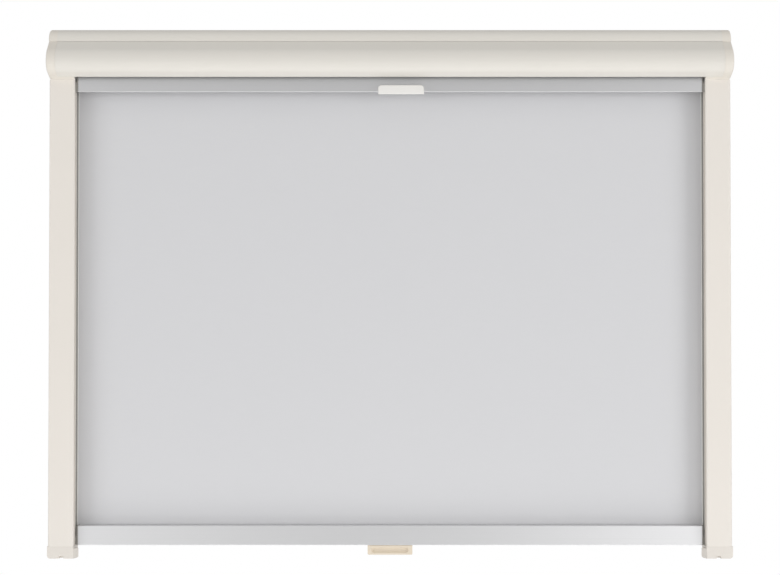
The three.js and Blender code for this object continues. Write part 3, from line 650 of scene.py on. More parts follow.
class Workshop:
    """Finishes solids into pieces of the blind."""

    def __init__(self) -> None:
        """Opens with no material made yet."""
        self.finishes = Finishes()
        self.made: dict[Finish, bpy.types.Material] = {}

    def material(self, finish: Finish) -> bpy.types.Material:
        """Gives a finish's material, made once."""
        if finish not in self.made:
            self.made[finish] = finish.material()
        return self.made[finish]

    def piece(self, solid: Solid, node: str, body: str, finish: Finish, edge: float = 0) -> bpy.types.Object:
        """Finishes a solid in place of its plain node.

        Args:
            solid: The solid, in millimetres.
            node: The node that it stands for.
            body: The body that it rides on.
            finish: Its finish.
            edge: How far its sharp edges are broken, in millimetres.

        Returns:
            The finished piece.
        """
        bmesh.ops.scale(solid.bm, vec=(MM, MM, MM), verts=solid.bm.verts[:])
        mesh = solid.mesh(f"{node}_mesh")
        mesh.shade_smooth()
        mesh.set_sharp_from_angle(angle=SHARP)
        mesh.materials.append(self.material(finish))
        made = placed(f"{node}_piece", mesh)
        if edge:
            broken = made.modifiers.new("edges", "BEVEL")
            broken.width = edge * MM
            broken.segments = 2
            broken.limit_method = "ANGLE"
            broken.angle_limit = SHARP
            broken.use_clamp_overlap = True
        weighted = made.modifiers.new("normals", "WEIGHTED_NORMAL")
        weighted.keep_sharp = True
        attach(made, body)
        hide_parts(node)
        log.info("%s on %s: %d faces", node, body, len(mesh.polygons))
        return made


# The blind's own sizes, in millimetres


@dataclass(frozen=True)
class Sizes:
    """Sizes that several sub-assemblies share, worked out as in the plain model."""

    half_width: float = 456.0
    top: float = 32.25
    rail_front: float = -30.0
    rail_face: float = 34.0
    cap_bottom: float = -35.25
    rail_bottom: float = -659.25
    foot_bottom: float = -675.25
    shell_end: float = 443.95
    bracket_face: float = 441.7
    bracket_plate: float = 2.0
    tube_half: float = 431.0
    sheet_half: float = 430.0
    bar_half: float = 418.5
    screen_axis: Place = (-35.4, -9.25)
    blackout_axis: Place = (-16.0, 16.65)
    screen_bar_y: float = -22.4
    sheet_y: float = -5.1
    travel: float = 608.0

    @property
    def rail_ends(self) -> Place:
        """The rails' lower and upper ends."""
        return self.rail_bottom + SEAM, self.cap_bottom - SEAM


SIZES = Sizes()
SIDES = (("left", True), ("right", False))


@dataclass(frozen=True)
class Assembly:
    """A sub-assembly, which finishes its own pieces in a workshop."""

    shop: Workshop


# Cassette


@dataclass(frozen=True)
class Cassette(Assembly):
    """The two-part shell, its end caps and the brackets inside.

    The peg's sizes are its sides in from the cap's end, back from the rail's face and up from the
    cap's bottom.
    """

    wall: float = 1.6
    shoulder: Place = (-21.5, 16.75)
    shoulder_radius: float = 15.5
    shoulder_turn: float = 98.0
    groove: Place = (-36.6, 14.55)
    upper: Place = (-30.0, -14.25)
    upper_radius: float = 25.0
    lower: Place = (-38.5, -14.25)
    lower_radius: float = 16.5
    lip: float = -36.0
    toe: Place = (-30.0, -35.25)
    toe_height: float = 5.0
    toe_wall: float = 2.0
    toe_flank: float = 3.5
    ports: tuple[Place, Place] = ((-4.9, 27.35), (-34.4, 8.85))
    port: float = 2.6
    port_bore: float = 1.6
    bosses: tuple[Place, Place] = ((-25.0, 20.75), (-20.0, -19.25))
    boss: float = 3.4
    boss_root: float = 1.0
    pilot: float = 1.7
    head: float = 2.8
    head_depth: float = 2.2
    cap_length: float = 12.0
    cap_plate: float = 4.0
    cap_wall: float = 2.5
    cap_rounding: float = 2.8
    tongue: float = 6.0
    tongue_wall: float = 1.5
    peg: tuple[float, ...] = (13.4, 3.7, 5.0, 27.0, -12.0, 2.5)
    arm_radius: float = 4.0
    eye: float = 5.8
    tang: float = 3.0

    @property
    def cover_edge(self) -> Place:
        """The cover's upper edge, a seam below the groove."""
        return self.groove[0], self.groove[1] - SEAM

    def touch(self, centre: Place, radius: float, point: Place, side: int) -> float:
        """Gives the angle on a circle where a line from a point touches it, in degrees."""
        away = math.dist(centre, point)
        turn = math.atan2(point[1] - centre[1], point[0] - centre[0])
        return math.degrees(turn + side * math.acos(radius / away))

    @property
    def flank(self) -> float:
        """Where the straight flank meets the main round, in degrees."""
        return self.touch(self.upper, self.upper_radius, self.cover_edge, 1)

    @property
    def underside(self) -> float:
        """Where the main round meets the slanting underside, in degrees."""
        return self.touch(self.lower, self.lower_radius, self.toe, -1) + 360

    def at(self, centre: Place, radius: float, degrees: float) -> Place:
        """Gives a place on a circle."""
        turn = math.radians(degrees)
        return centre[0] + radius * math.cos(turn), centre[1] + radius * math.sin(turn)

    def top_drawn(self, drawn: Section) -> Section:
        """Draws the top and the shoulder, from the wall's top corner."""
        return drawn.line((self.shoulder[0], SIZES.top)).arc(self.shoulder, self.shoulder_turn, 3 * FINE)

    def round_drawn(self, drawn: Section) -> Section:
        """Draws the flank and the main round."""
        drawn.line(self.at(self.upper, self.upper_radius, self.flank))
        drawn.arc(self.upper, 180 - self.flank, 2 * FINE)
        return drawn.arc(self.lower, self.underside - 180, 2 * FINE)

    def underside_at(self, y: float) -> Place:
        """Gives the underside's place at a depth."""
        start = self.at(self.lower, self.lower_radius, self.underside)
        fall = (self.toe[1] - start[1]) / (self.toe[0] - start[0])
        return y, start[1] + (y - start[0]) * fall

    def back(self) -> Solid:
        """Makes the back, the top and the shoulder, with the two screw ports."""
        end, top, wall = SIZES.shell_end, SIZES.top, self.wall
        inner = self.shoulder_radius - wall
        floor = self.groove[1] + wall
        turn = math.degrees(math.asin((self.shoulder[1] - floor) / inner))
        (y, z), (flange, groove_z) = self.ports
        flange += wall / 2
        drawn = self.top_drawn(Section(Along.X, -end).start(-wall, -top).line((0, -top), (0, top)))
        drawn.line(
            self.groove,
            (flange - wall, self.groove[1]),
            (flange - wall, groove_z),
            (flange, groove_z),
            (flange, floor),
            self.at(self.shoulder, inner, 180 + turn),
        )
        drawn.arc(self.shoulder, -90 - turn, 3 * FINE).line((-wall, top - wall)).close()
        ports = [
            Section(Along.X, -end).circle(place, self.port).circle(place, self.port_bore).drawn_to(end)
            for place in self.ports
        ]
        near, far, thin, deep = 0.9, 2.0, 0.2, 1.3
        web = Section(Along.X, -end)
        web.polygon((-thin, top - deep), (y + far, z + near), (y + near, z + far), (-deep, top - thin))
        return drawn.drawn_to(end).with_parts(*ports, web.drawn_to(end))

    def cover(self) -> Solid:
        """Makes the main round, from the groove to the lower lip."""
        flank, under = self.flank, self.underside
        edge, lip = self.cover_edge, self.underside_at(self.lip)
        drawn = self.round_drawn(Section(Along.X, -SIZES.shell_end).start(*edge))
        drawn.line(lip, self.at(lip, -self.wall, under))
        drawn.line(self.at(self.lower, self.lower_radius - self.wall, under))
        drawn.arc(self.lower, 180 - under, 2 * FINE).arc(self.upper, flank - 180, 2 * FINE)
        drawn.line(self.at(edge, -self.wall, flank)).close()
        return drawn.drawn_to(SIZES.shell_end)

    def cap_outline(self, at: float) -> Section:
        """Draws the end cap's outline."""
        drawn = self.top_drawn(Section(Along.X, at).start(0, SIZES.cap_bottom).line((0, SIZES.top)))
        return self.round_drawn(drawn.line(self.cover_edge)).line(self.toe).close()

    def cap_toe(self) -> Solid:
        """Makes the part of the cap that closes on the rail's face."""
        front = self.underside_at(self.lip + FIT)
        behind = SIZES.rail_front + self.wall
        top = SIZES.cap_bottom + self.toe_height
        inner_end = SIZES.half_width - SIZES.rail_face
        inner = self.at(front, -self.toe_wall, self.underside)
        drawn = Section(Along.X, inner_end)
        drawn.polygon(self.toe, (behind, self.toe[1]), (behind, top), (self.toe[0], top), inner, front)
        flank = box(
            (inner_end, inner_end + self.wall),
            (SIZES.rail_front, SIZES.rail_front + self.toe_flank),
            (SIZES.cap_bottom, top),
        )
        return drawn.drawn_to(SIZES.half_width - self.cap_length + self.cap_plate).fused(flank)

    def cap_tongue(self) -> Solid:
        """Makes the curved tongue that holds the cover from inside."""
        outer = self.lower_radius - self.wall - FIT
        end = SIZES.half_width - self.cap_length
        drawn = Section(Along.X, end - self.tongue).start(*self.at(self.lower, outer, 180))
        drawn.arc(self.lower, self.underside - 180, FINE)
        drawn.line(self.at(self.lower, outer - self.tongue_wall, self.underside))
        return drawn.arc(self.lower, 180 - self.underside, FINE).close().drawn_to(end + OVERRUN)

    def cap(self) -> Solid:
        """Makes the right-hand end cap."""
        end, inner = SIZES.half_width, SIZES.half_width - self.cap_length
        shell = self.cap_outline(inner).drawn_to(end)
        shell.hollowed(self.cap_wall, (self.cap_length - self.cap_plate, 0, 0), at_x(inner))
        shell.rounded(self.cap_rounding, CORNER, at_x(end))
        floor, outside = end - self.cap_plate, end + OVERRUN
        columns = rods(self.bosses, self.boss, inner, floor + self.boss_root)
        left, right, front, back, low, high = self.peg
        face, bottom = SIZES.rail_front, SIZES.cap_bottom
        peg = box((end - left, end - right), (face + front, face + back), (bottom + low, bottom + high))
        body = shell.fused(self.cap_toe(), self.cap_tongue(), peg, *columns)
        pilots = rods(self.bosses, self.pilot, inner - OVERRUN, floor, BORE)
        shanks = rods(self.ports, self.port_bore, inner, outside, BORE)
        heads = rods(self.ports, self.head, end - self.head_depth, outside)
        return body.cut(*pilots, *shanks, *heads)

    def bracket(self) -> Solid:
        """Makes the right-hand roller bracket."""
        start, end = SIZES.bracket_face, SIZES.bracket_face + SIZES.bracket_plate
        rollers = (SIZES.blackout_axis, SIZES.screen_axis)
        arms = [rollers, (rollers[0], self.bosses[0]), (rollers[1], self.bosses[1])]
        plates = [self.arm(one, other, start, end) for one, other in arms]
        plates += rods(rollers, self.eye, start, end, 2 * BORE)
        through = (start - OVERRUN, end + OVERRUN)
        tangs = [square(place, self.tang, *through) for place in rollers]
        return plates[0].fused(*plates[1:]).cut(*tangs, *rods(self.bosses, self.pilot, *through, BORE))

    def arm(self, one: Place, other: Place, start: float, end: float) -> Solid:
        """Makes a round-ended plate between two places."""
        turn = math.degrees(math.atan2(other[1] - one[1], other[0] - one[0]))
        drawn = Section(Along.X, start).start(*self.at(other, self.arm_radius, turn - 90))
        drawn.arc(other, 180, FINE).line(self.at(one, self.arm_radius, turn + 90))
        return drawn.arc(one, 180, FINE).close().drawn_to(end)

    def build(self) -> None:
        """Builds and finishes the cassette."""
        shop, looks = self.shop, self.shop.finishes
        shop.piece(self.back(), "cassette_back", "casing", looks.shell)
        shop.piece(self.cover(), "cassette_cover", "casing", looks.shell, 0.25)
        for name, left in SIDES:
            shop.piece(self.cap().sided(left), f"end_cap_{name}", "casing", looks.moulding)
            bracket = self.bracket().sided(left)
            shop.piece(bracket, f"roller_bracket_{name}", "casing", looks.steel, 0.2)


# Side rails


@dataclass(frozen=True)
class SideRails(Assembly):
    """The slotted rails with their covers, seals, feet and catches.

    The slots' four sides are measured back from the rail's face.
    """

    wall: float = 1.6
    rounding: float = 2.0
    flank: float = 3.5
    web: float = 22.0
    base_wall: float = 1.5
    slots: tuple[float, float, float, float] = (3.5, 11.7, 13.3, 21.5)
    ledge: float = 1.4
    back_wall: float = 2.0
    seal_front: float = 23.0
    seal_thickness: float = 1.1
    seal_proud: float = 1.3
    seal_rounding: float = 0.5
    set_back: float = 2.6
    port: Place = (-17.85, -16.15)
    port_radius: float = 3.4
    port_bore: float = 1.8
    hole: float = 2.25
    hole_in: float = 8.175
    hole_from_end: float = 60.0
    overhang: float = 1.0
    foot_rounding: float = 4.0
    foot_wall: float = 2.5
    foot_floor: float = 5.0
    foot_head: float = 3.3
    foot_sink: float = 2.6
    lobe: float = 4.5
    lobe_depth: float = 12.0
    lobe_drop: float = 3.0
    lobe_rounding: float = 1.6
    lobe_heel: float = 2.0
    lobe_root: float = 1.0
    notch_half: float = 3.0
    notch_depth: float = 8.0
    notch_height: float = 3.3
    notch_shift: float = 0.9
    leaf: float = 0.6
    leaf_side: float = 1.1
    leaf_foot: float = 30.0
    leaf_proud: float = 2.4
    leaf_bump: float = 14.0
    leaf_slopes: Triple = (2.7, 3.3, 6.0)

    @property
    def port_at(self) -> Place:
        """The rail's screw port in X and Y."""
        return SIZES.half_width + self.port[0], self.port[1]

    def across(self, *places: Place) -> list[Place]:
        """Turns (in from the outside, back from the face) into X and Y."""
        return [(SIZES.half_width - a, SIZES.rail_front + d) for a, d in places]

    def cover(self) -> Solid:
        """Makes the right-hand rail's face."""
        outer, inner = SIZES.half_width, SIZES.half_width - SIZES.rail_face
        front, corner, wall = SIZES.rail_front, self.rounding, self.wall
        drawn = Section(Along.Z, SIZES.rail_ends[0]).start(outer, 0)
        drawn.line(
            (outer - wall, 0),
            (outer - wall, front + wall),
            (inner + wall, front + wall),
            (inner + wall, front + self.flank),
            (inner, front + self.flank),
            (inner, front + corner),
        )
        drawn.arc((inner + corner, front + corner), 90, CORNER).line((outer - corner, front))
        drawn.arc((outer - corner, front + corner), 90, CORNER).close()
        return drawn.drawn_to(SIZES.rail_ends[1])

    def base(self) -> Solid:
        """Makes the right-hand rail's slotted extrusion."""
        first, second, third, fourth = self.slots
        low, high = SIZES.rail_ends
        face, deep, web = SIZES.rail_face, -SIZES.rail_front, self.web
        outer, rear, inner = self.wall + FIT, deep - self.back_wall, web - self.base_wall
        front, rib, flank = self.wall + FIT, face - self.set_back, face - self.wall - FIT
        ledge, near = fourth + self.ledge, outer + self.base_wall
        back = ((outer, front), (outer, deep), (face, deep), (face, rear), (web, rear))
        ribs = ((web, ledge), (rib, ledge), (rib, fourth), (web, fourth), (web, third), (face, third))
        shelf = ((face, second), (web, second), (web, first), (flank, first), (flank, front))
        inside = ((inner, front), (inner, rear), (near, rear), (near, front))
        comb = Section(Along.Z, low).polygon(*self.across(*back, *ribs, *shelf, *inside))
        column = Section(Along.Z, low).circle(self.port_at, self.port_radius)
        column.circle(self.port_at, self.port_bore, BORE)
        x, inset = SIZES.half_width - self.hole_in, self.hole_from_end
        heights = (low + inset, (low + high) / 2, high - inset)
        holes = [rod(Along.Y, (x, z), self.hole, -2 * OVERRUN, OVERRUN) for z in heights]
        return comb.drawn_to(high).cut(*holes).with_parts(column.drawn_to(high))

    def seal(self) -> Solid:
        """Makes the right-hand seal strip."""
        root, tip, soft = self.web + FIT, SIZES.rail_face + self.seal_proud, self.seal_rounding
        front, rear = self.seal_front, self.seal_front + self.seal_thickness
        ends = ((tip - soft, rear), (tip, rear - soft), (tip, front + soft), (tip - soft, front))
        places = self.across((root, front), (root, rear), *ends)
        return Section(Along.Z, SIZES.rail_ends[0]).polygon(*places).drawn_to(SIZES.rail_ends[1])

    def foot_lobe(self) -> Solid:
        """Makes the rounded lobe that reaches in front of the bars' ends."""
        left, low = SIZES.half_width - SIZES.rail_face, SIZES.foot_bottom
        tip, soft, crown = left - self.lobe, self.lobe_rounding, SIZES.rail_bottom - self.lobe_drop
        face, root = SIZES.rail_front, left + self.lobe_root
        drawn = Section(Along.Y, face).start(root, crown).line((tip + soft, crown))
        drawn.arc((tip + soft, crown - soft), 90, CORNER).line((tip, low + soft))
        drawn.arc((tip + soft, low + soft), 90, CORNER).line((root, low)).close()
        before, beyond, heel = face - OVERRUN, tip - OVERRUN, face + self.lobe_depth - self.lobe_heel
        slope = Section(Along.Z, low - OVERRUN)
        slope.polygon((left, before), (left, face), (tip, heel), (beyond, heel), (beyond, before))
        return drawn.drawn_to(face + self.lobe_depth).cut(slope.drawn_to(SIZES.rail_bottom))

    def foot(self) -> Solid:
        """Makes the right-hand foot."""
        left, right = SIZES.half_width - SIZES.rail_face, SIZES.half_width + self.overhang
        radius, low, high = self.foot_rounding, SIZES.foot_bottom, SIZES.rail_bottom
        face, wall = SIZES.rail_front, self.foot_wall
        drawn = Section(Along.Y, face).start(left, high).line((left, low), (right - radius, low))
        drawn.arc((right - radius, low + radius), 90, SWEEP).line((right, high)).close()
        block = drawn.drawn_to(0).fused(self.foot_lobe())
        rise = (low + self.foot_floor, high + OVERRUN)
        hollow = box((left + wall, right - wall), (face + wall, -wall), rise)
        middle = (left + right - self.overhang) / 2 - self.notch_shift
        notch = box(
            (middle - self.notch_half, middle + self.notch_half),
            (face - OVERRUN, face + self.notch_depth),
            (low - OVERRUN, low + self.notch_height),
        )
        column = rod(Along.Z, self.port_at, self.port_radius, low + wall, high)
        shank = rod(Along.Z, self.port_at, self.port_bore, low - OVERRUN, high + OVERRUN, BORE)
        head = rod(Along.Z, self.port_at, self.foot_head, low - OVERRUN, low + self.foot_sink)
        return block.cut(hollow, notch).fused(column).cut(shank, head)

    def catch(self, front: float, back: float) -> Solid:
        """Makes a right-hand catch leaf in the slot between two depths."""
        floor = SIZES.half_width - self.web - FIT
        face, tip = floor - self.leaf, floor - self.leaf_proud
        low, bump = SIZES.rail_ends[0] + FIT, SIZES.rail_bottom + self.leaf_bump
        shoulder, (crest, fall, end) = low + self.leaf_foot, (bump + rise for rise in self.leaf_slopes)
        leaf = Section(Along.Y, SIZES.rail_front + front + self.leaf_side)
        leaf.start(floor, low).line((floor, shoulder), (face, shoulder), (face, end))
        leaf.line((tip, fall), (tip, crest), (face, bump), (face, low)).close()
        return leaf.drawn_to(SIZES.rail_front + back - self.leaf_side)

    def build(self) -> None:
        """Builds and finishes both rails."""
        looks = self.shop.finishes
        for name, left in SIDES:
            for kind, solid, finish, edge in (
                ("rail_cover", self.cover(), looks.rail, 0.0),
                ("rail_base", self.base(), looks.rail, 0.2),
                ("side_seal", self.seal(), looks.seal, 0.15),
                ("foot", self.foot(), looks.foot, 0.5),
                ("screen_catch", self.catch(*self.slots[:2]), looks.spring, 0.1),
                ("blackout_catch", self.catch(*self.slots[2:]), looks.spring, 0.1),
            ):
                self.shop.piece(solid.sided(left), f"{kind}_{name}", "casing", finish, edge)


# Rollers


@dataclass(frozen=True)
class Roller(Assembly):
    """A sprung roller: tube, wound sheet, plugs, rod, pin and spring."""

    prefix: str
    axis: Place
    build_up: float
    wound: Finish
    tube: float = 10.0
    tube_wall: float = 1.0
    roll_gap: float = 0.1
    plug_length: float = 18.0
    plug_flange: float = 1.7
    plug_body: float = 8.8
    grip_pitch: float = 4.0
    grip_slope: float = 0.3
    grip_floor: float = 1.0
    grip_depth: float = 0.6
    lead_in: float = 0.8
    rim: float = 1.5
    rim_rounding: Place = (0.2, 0.3)
    rod_radius: float = 4.0
    rod_length: float = 120.0
    pin_radius: float = 3.0
    pin_length: float = 28.0
    tip: float = 0.6
    collar: float = 5.5
    collar_gap: float = 2.0
    collar_rounding: float = 0.3
    tang: float = 2.7
    coil_radius: float = 4.9
    wire: float = 1.2
    coil_start: float = 24.0
    coil_pitch: float = 3.6
    coil_turns: float = 16

    def ring(self, outer: float, inner: float, half: float) -> Solid:
        """Makes a long ring about the roller's axis."""
        return turned(self.axis, [(-half, inner), (-half, outer), (half, outer), (half, inner)], WIDE)

    def plug(self, bore: float) -> Solid:
        """Makes the right-hand end plug, with grips along its body."""
        start, end = SIZES.tube_half - self.plug_length, SIZES.tube_half + self.plug_flange
        body, slope, deep = self.plug_body, self.grip_slope, self.plug_body - self.grip_depth
        profile = [(start, bore), (start, body - self.lead_in), (start + self.lead_in, body)]
        for groove in range(1, 4):
            x = start + self.grip_pitch * groove
            profile += [(x, body), (x + slope, deep)]
            x += slope + self.grip_floor
            profile += [(x, deep), (x + slope, body)]
        rim, tube, (inner, outer) = end - self.rim, self.tube, self.rim_rounding
        profile += [(rim, body), (rim, tube - inner), (rim + inner, tube)]
        profile += [(end - outer, tube), (end, tube - outer), (end, bore)]
        return turned(self.axis, profile, 2 * ROUND)

    def axle(self, radius: float, length: float) -> Solid:
        """Makes the right-hand fixed axle with its collar and square tang."""
        bracket, wide, soft = SIZES.bracket_face, self.collar, self.collar_rounding
        collar, end, tip = SIZES.tube_half + self.collar_gap, bracket - FIT, bracket - length
        profile = [(tip, 0), (tip, radius - self.tip), (tip + self.tip, radius), (collar, radius)]
        profile += [(collar, wide - soft), (collar + soft, wide), (end - soft, wide)]
        profile += [(end, wide - soft), (end, 0)]
        tang = square(self.axis, self.tang, end - soft, bracket + SIZES.bracket_plate)
        return turned(self.axis, profile).fused(tang)

    def spring(self) -> Solid:
        """Makes the return spring round the left-hand rod."""
        start = self.coil_start - SIZES.tube_half
        return coil(self.axis, self.coil_radius, self.wire, start, self.coil_pitch, self.coil_turns)

    def build(self) -> None:
        """Builds and finishes the roller."""
        looks, turning = self.shop.finishes, f"{self.prefix}_roller"
        wound = self.tube + self.build_up
        tube = self.ring(self.tube, self.tube - self.tube_wall, SIZES.tube_half)
        for kind, solid, body, finish in (
            ("roller_tube", tube, turning, looks.tube),
            ("roll", self.ring(wound, self.tube + self.roll_gap, SIZES.sheet_half), turning, self.wound),
            ("spring_plug", self.plug(self.rod_radius + FIT).mirrored(), turning, looks.grey),
            ("idle_plug", self.plug(self.pin_radius + FIT), turning, looks.grey),
            ("spring_rod", self.axle(self.rod_radius, self.rod_length).mirrored(), "casing", looks.steel),
            ("idle_pin", self.axle(self.pin_radius, self.pin_length), "casing", looks.steel),
            ("return_spring", self.spring(), "casing", looks.spring),
        ):
            self.shop.piece(solid, f"{self.prefix}_{kind}", body, finish)


# Bottom bars


@dataclass(frozen=True)
class BottomBar(Assembly):
    """A sheet's bottom bar with its hem rod and the gliders in its ends."""

    prefix: str
    y: float
    low: float
    depth: float
    height: float
    hem: float
    shoe: Place
    shoe_height: Place = (0.5, 13.0)
    shoe_rounding: float = 1.2
    shoe_in: float = 25.0
    wall: float = 1.1
    rounding: float = 0.6
    channel: float = 1.6
    mouth: float = 0.6
    spigot: float = 12.0
    plate: float = 1.5

    @property
    def hem_z(self) -> float:
        """The height of the hem channel's middle."""
        return self.low + self.height - self.channel - self.wall

    def outline(self, at: float) -> Section:
        """Draws the bar's outer outline with rounded corners."""
        front, back = self.y - self.depth / 2, self.y + self.depth / 2
        low, high, r = self.low, self.low + self.height, self.rounding
        drawn = Section(Along.X, at).start(front + r, low)
        drawn.line((back - r, low)).arc((back - r, low + r), 90, EDGE).line((back, high - r))
        drawn.arc((back - r, high - r), 90, EDGE).line((front + r, high))
        drawn.arc((front + r, high - r), 90, EDGE).line((front, low + r))
        return drawn.arc((front + r, low + r), 90, EDGE).close()

    def chamber(self, drawn: Section, wall: float) -> Section:
        """Draws the bar's hollow, or what fits in it when the wall is wider."""
        front, back = self.y - self.depth / 2 + wall, self.y + self.depth / 2 - wall
        low, high = self.low + wall, self.hem_z - self.channel - wall
        return drawn.polygon((front, low), (front, high), (back, high), (back, low))

    def bar(self) -> Solid:
        """Makes the bar."""
        half, over = SIZES.bar_half, SIZES.bar_half + OVERRUN
        body = self.chamber(self.outline(-half), self.wall).drawn_to(half)
        mouth = (self.hem - self.mouth, self.hem + self.mouth)
        slot = box((-over, over), mouth, (self.hem_z, self.low + self.height + OVERRUN))
        return body.cut(rod(Along.X, (self.hem, self.hem_z), self.channel, -over, over), slot)

    def glider(self) -> Solid:
        """Makes the right-hand plug with its shoe."""
        start, tip = SIZES.bar_half + FIT, SIZES.half_width - self.shoe_in
        middle = start + 0.6 * self.plate
        plate = self.outline(start).drawn_to(start + self.plate)
        spigot = self.chamber(Section(Along.X, start - self.spigot), self.wall + FIT).drawn_to(middle)
        shoe = box((middle, tip), self.shoe, tuple(self.low + up for up in self.shoe_height))
        return plate.fused(spigot, shoe.rounded(self.shoe_rounding, 3, at_x(tip)))

    def build(self) -> None:
        """Builds and finishes the bar."""
        shop, looks, body = self.shop, self.shop.finishes, f"{self.prefix}_slider"
        shop.piece(self.bar(), f"{self.prefix}_bar", body, looks.bar)
        half = SIZES.bar_half - FIT
        hem = rod(Along.X, (self.hem, self.hem_z), self.channel - FIT, -half, half)
        shop.piece(hem, f"{self.prefix}_hem_rod", body, looks.white)
        for name, left in SIDES:
            shop.piece(self.glider().sided(left), f"{self.prefix}_glider_{name}", body, looks.grey, 0.15)


@dataclass(frozen=True)
class PullTab(Assembly):
    """The hooked lip on the front of the screen's bar."""

    left: float = -15.7
    right: float = 45.3
    back: float = -25.7
    low: float = -55.85
    proud: float = 10.6
    height: float = 12.3
    chamfer: float = 3.1

    def at(self, out: float, up: float) -> Place:
        """Gives a place by its shares of the tab's depth and height."""
        return self.back - self.proud * out, self.low + self.height * up

    def build(self) -> None:
        """Builds and finishes the tab."""
        shares = ((0, 0.94), (0.8, 1), (0.95, 0.985), (1, 0.92), (1, 0.24), (0.975, 0.08), (0.9, 0))
        shares += ((0.76, 0), (0.68, 0.1), (0.6, 0.3), (0.52, 0.42), (0.3, 0.42), (0, 0.3))
        block = Section(Along.X, self.left).polygon(*(self.at(*s) for s in shares)).drawn_to(self.right)
        top, over, reach = self.low + self.height, OVERRUN, self.chamfer + OVERRUN
        corners = []
        for x, turn in ((self.left, 1), (self.right, -1)):
            out = x - turn * over
            drawn = Section(Along.Y, self.back - self.proud - over)
            drawn.polygon((out, top + over), (out, top - reach), (x + turn * reach, top + over))
            corners.append(drawn.drawn_to(self.back + over))
        white = self.shop.finishes.white
        self.shop.piece(block.cut(*corners), "screen_pull_tab", "screen_slider", white, 0.4)


@dataclass(frozen=True)
class PullHandle(Assembly):
    """The moulded grip under the blackout bar, with a finger scoop in its face."""

    half: float = 30.0
    top: float = -659.55
    low: float = -671.95
    front: float = -17.7
    depth: float = 12.5
    rounding: float = 1.5
    scoop: float = 3.5
    scoop_proud: float = 0.6
    scoop_half: float = 21.5
    scoop_drop: float = 6.3

    def build(self) -> None:
        """Builds and finishes the handle."""
        r = self.rounding
        drawn = Section(Along.Y, self.front).start(-self.half, self.top).line((-self.half, self.low + r))
        drawn.arc((r - self.half, self.low + r), 90, CORNER).line((self.half - r, self.low))
        drawn.arc((self.half - r, self.low + r), 90, CORNER).line((self.half, self.top)).close()
        profile = [(-self.scoop_half - self.scoop, 0.0)]
        for step in range(1, SWEEP + 1):
            turn = math.radians(90 * step / SWEEP)
            profile.append((-self.scoop_half - self.scoop * math.cos(turn), self.scoop * math.sin(turn)))
        profile += [(-x, radius) for x, radius in reversed(profile)]
        tool = turned((self.front - self.scoop_proud, self.top - self.scoop_drop), profile, steps=40)
        grip = drawn.drawn_to(self.front + self.depth).cut(tool)
        self.shop.piece(grip, "blackout_handle", "blackout_slider", self.shop.finishes.handle, 0.6)


# Sheets


@dataclass(frozen=True)
class Sheets(Assembly):
    """The two hanging sheets, taut between their rolls and their bars."""

    thickness: float = 0.4
    rows: int = 24
    blackout_ends: Place = (-632.95, 16.65)
    screen_ends: Place = (-25.95, -9.25)

    def hanging(self, y: float, ends: Place) -> Solid:
        """Makes a thin upright sheet cut across into rows."""
        low, high = ends
        half = self.thickness / 2
        sheet = box((-SIZES.sheet_half, SIZES.sheet_half), (y - half, y + half), (low, high))
        for row in range(1, self.rows):
            height = low + (high - low) * row / self.rows
            whole = [*sheet.bm.verts, *sheet.bm.edges, *sheet.bm.faces]
            bmesh.ops.bisect_plane(sheet.bm, geom=whole, plane_co=(0, 0, height), plane_no=(0, 0, 1))
        return sheet

    def build(self) -> None:
        """Builds and finishes both sheets."""
        shop, looks, width = self.shop, self.shop.finishes, 2 * SIZES.sheet_half * MM
        low, high = self.blackout_ends
        made = self.hanging(SIZES.sheet_y, self.blackout_ends)
        blackout = shop.piece(made, "blackout_sheet", "casing", looks.cloth)
        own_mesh(blackout)
        low, high = self.screen_ends
        made = self.hanging(SIZES.screen_bar_y, self.screen_ends)
        screen = shop.piece(made, "screen_sheet", "casing", looks.net)
        screen.parent = None
        start, end = ((0, SIZES.screen_bar_y * MM, z * MM) for z in (high, low))
        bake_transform(screen)
        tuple(start)
        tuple(end)


# Screws


@dataclass(frozen=True)
class Screw:
    """A pan-headed screw, drawn along X with its head outwards at 0.

    The head's crown and recess are shares of its own radius and length; root and pitch are shares of
    the shank's radius, and thread is the share of its depth that the thread stands proud.
    """

    head: float
    head_length: float
    shank: float
    length: float
    crown: tuple[Place, ...] = ((0, 0), (0, 0.62), (-0.12, 0.86), (-0.45, 1), (-1, 1))
    root: float = 0.8
    pitch: float = 0.75
    thread: float = 0.95
    recess_half: float = 0.13
    recess_reach: float = 0.55
    recess_depth: float = 0.55

    def solid(self) -> Solid:
        """Makes the screw with a cross recess and a thread."""
        head, deep, shank = self.head, self.head_length, self.shank
        end, root, pitch = -deep - self.length, shank * self.root, shank * self.pitch
        profile = [(deep * x, head * radius) for x, radius in self.crown]
        profile += [(-deep, root), (end + shank, root), (end, 0)]
        arm, reach = ((-head * share, head * share) for share in (self.recess_half, self.recess_reach))
        xs = (-deep * self.recess_depth, 1)
        cross = box(xs, reach, arm).fused(box(xs, arm, reach))
        body = turned((0, 0), profile, ROUND).cut(cross)
        turns = (self.length - 2 * shank) / pitch
        wire = 2 * (shank - root) * self.thread
        return body.with_parts(coil((0, 0), shank - wire / 2, wire, end + shank, pitch, turns))


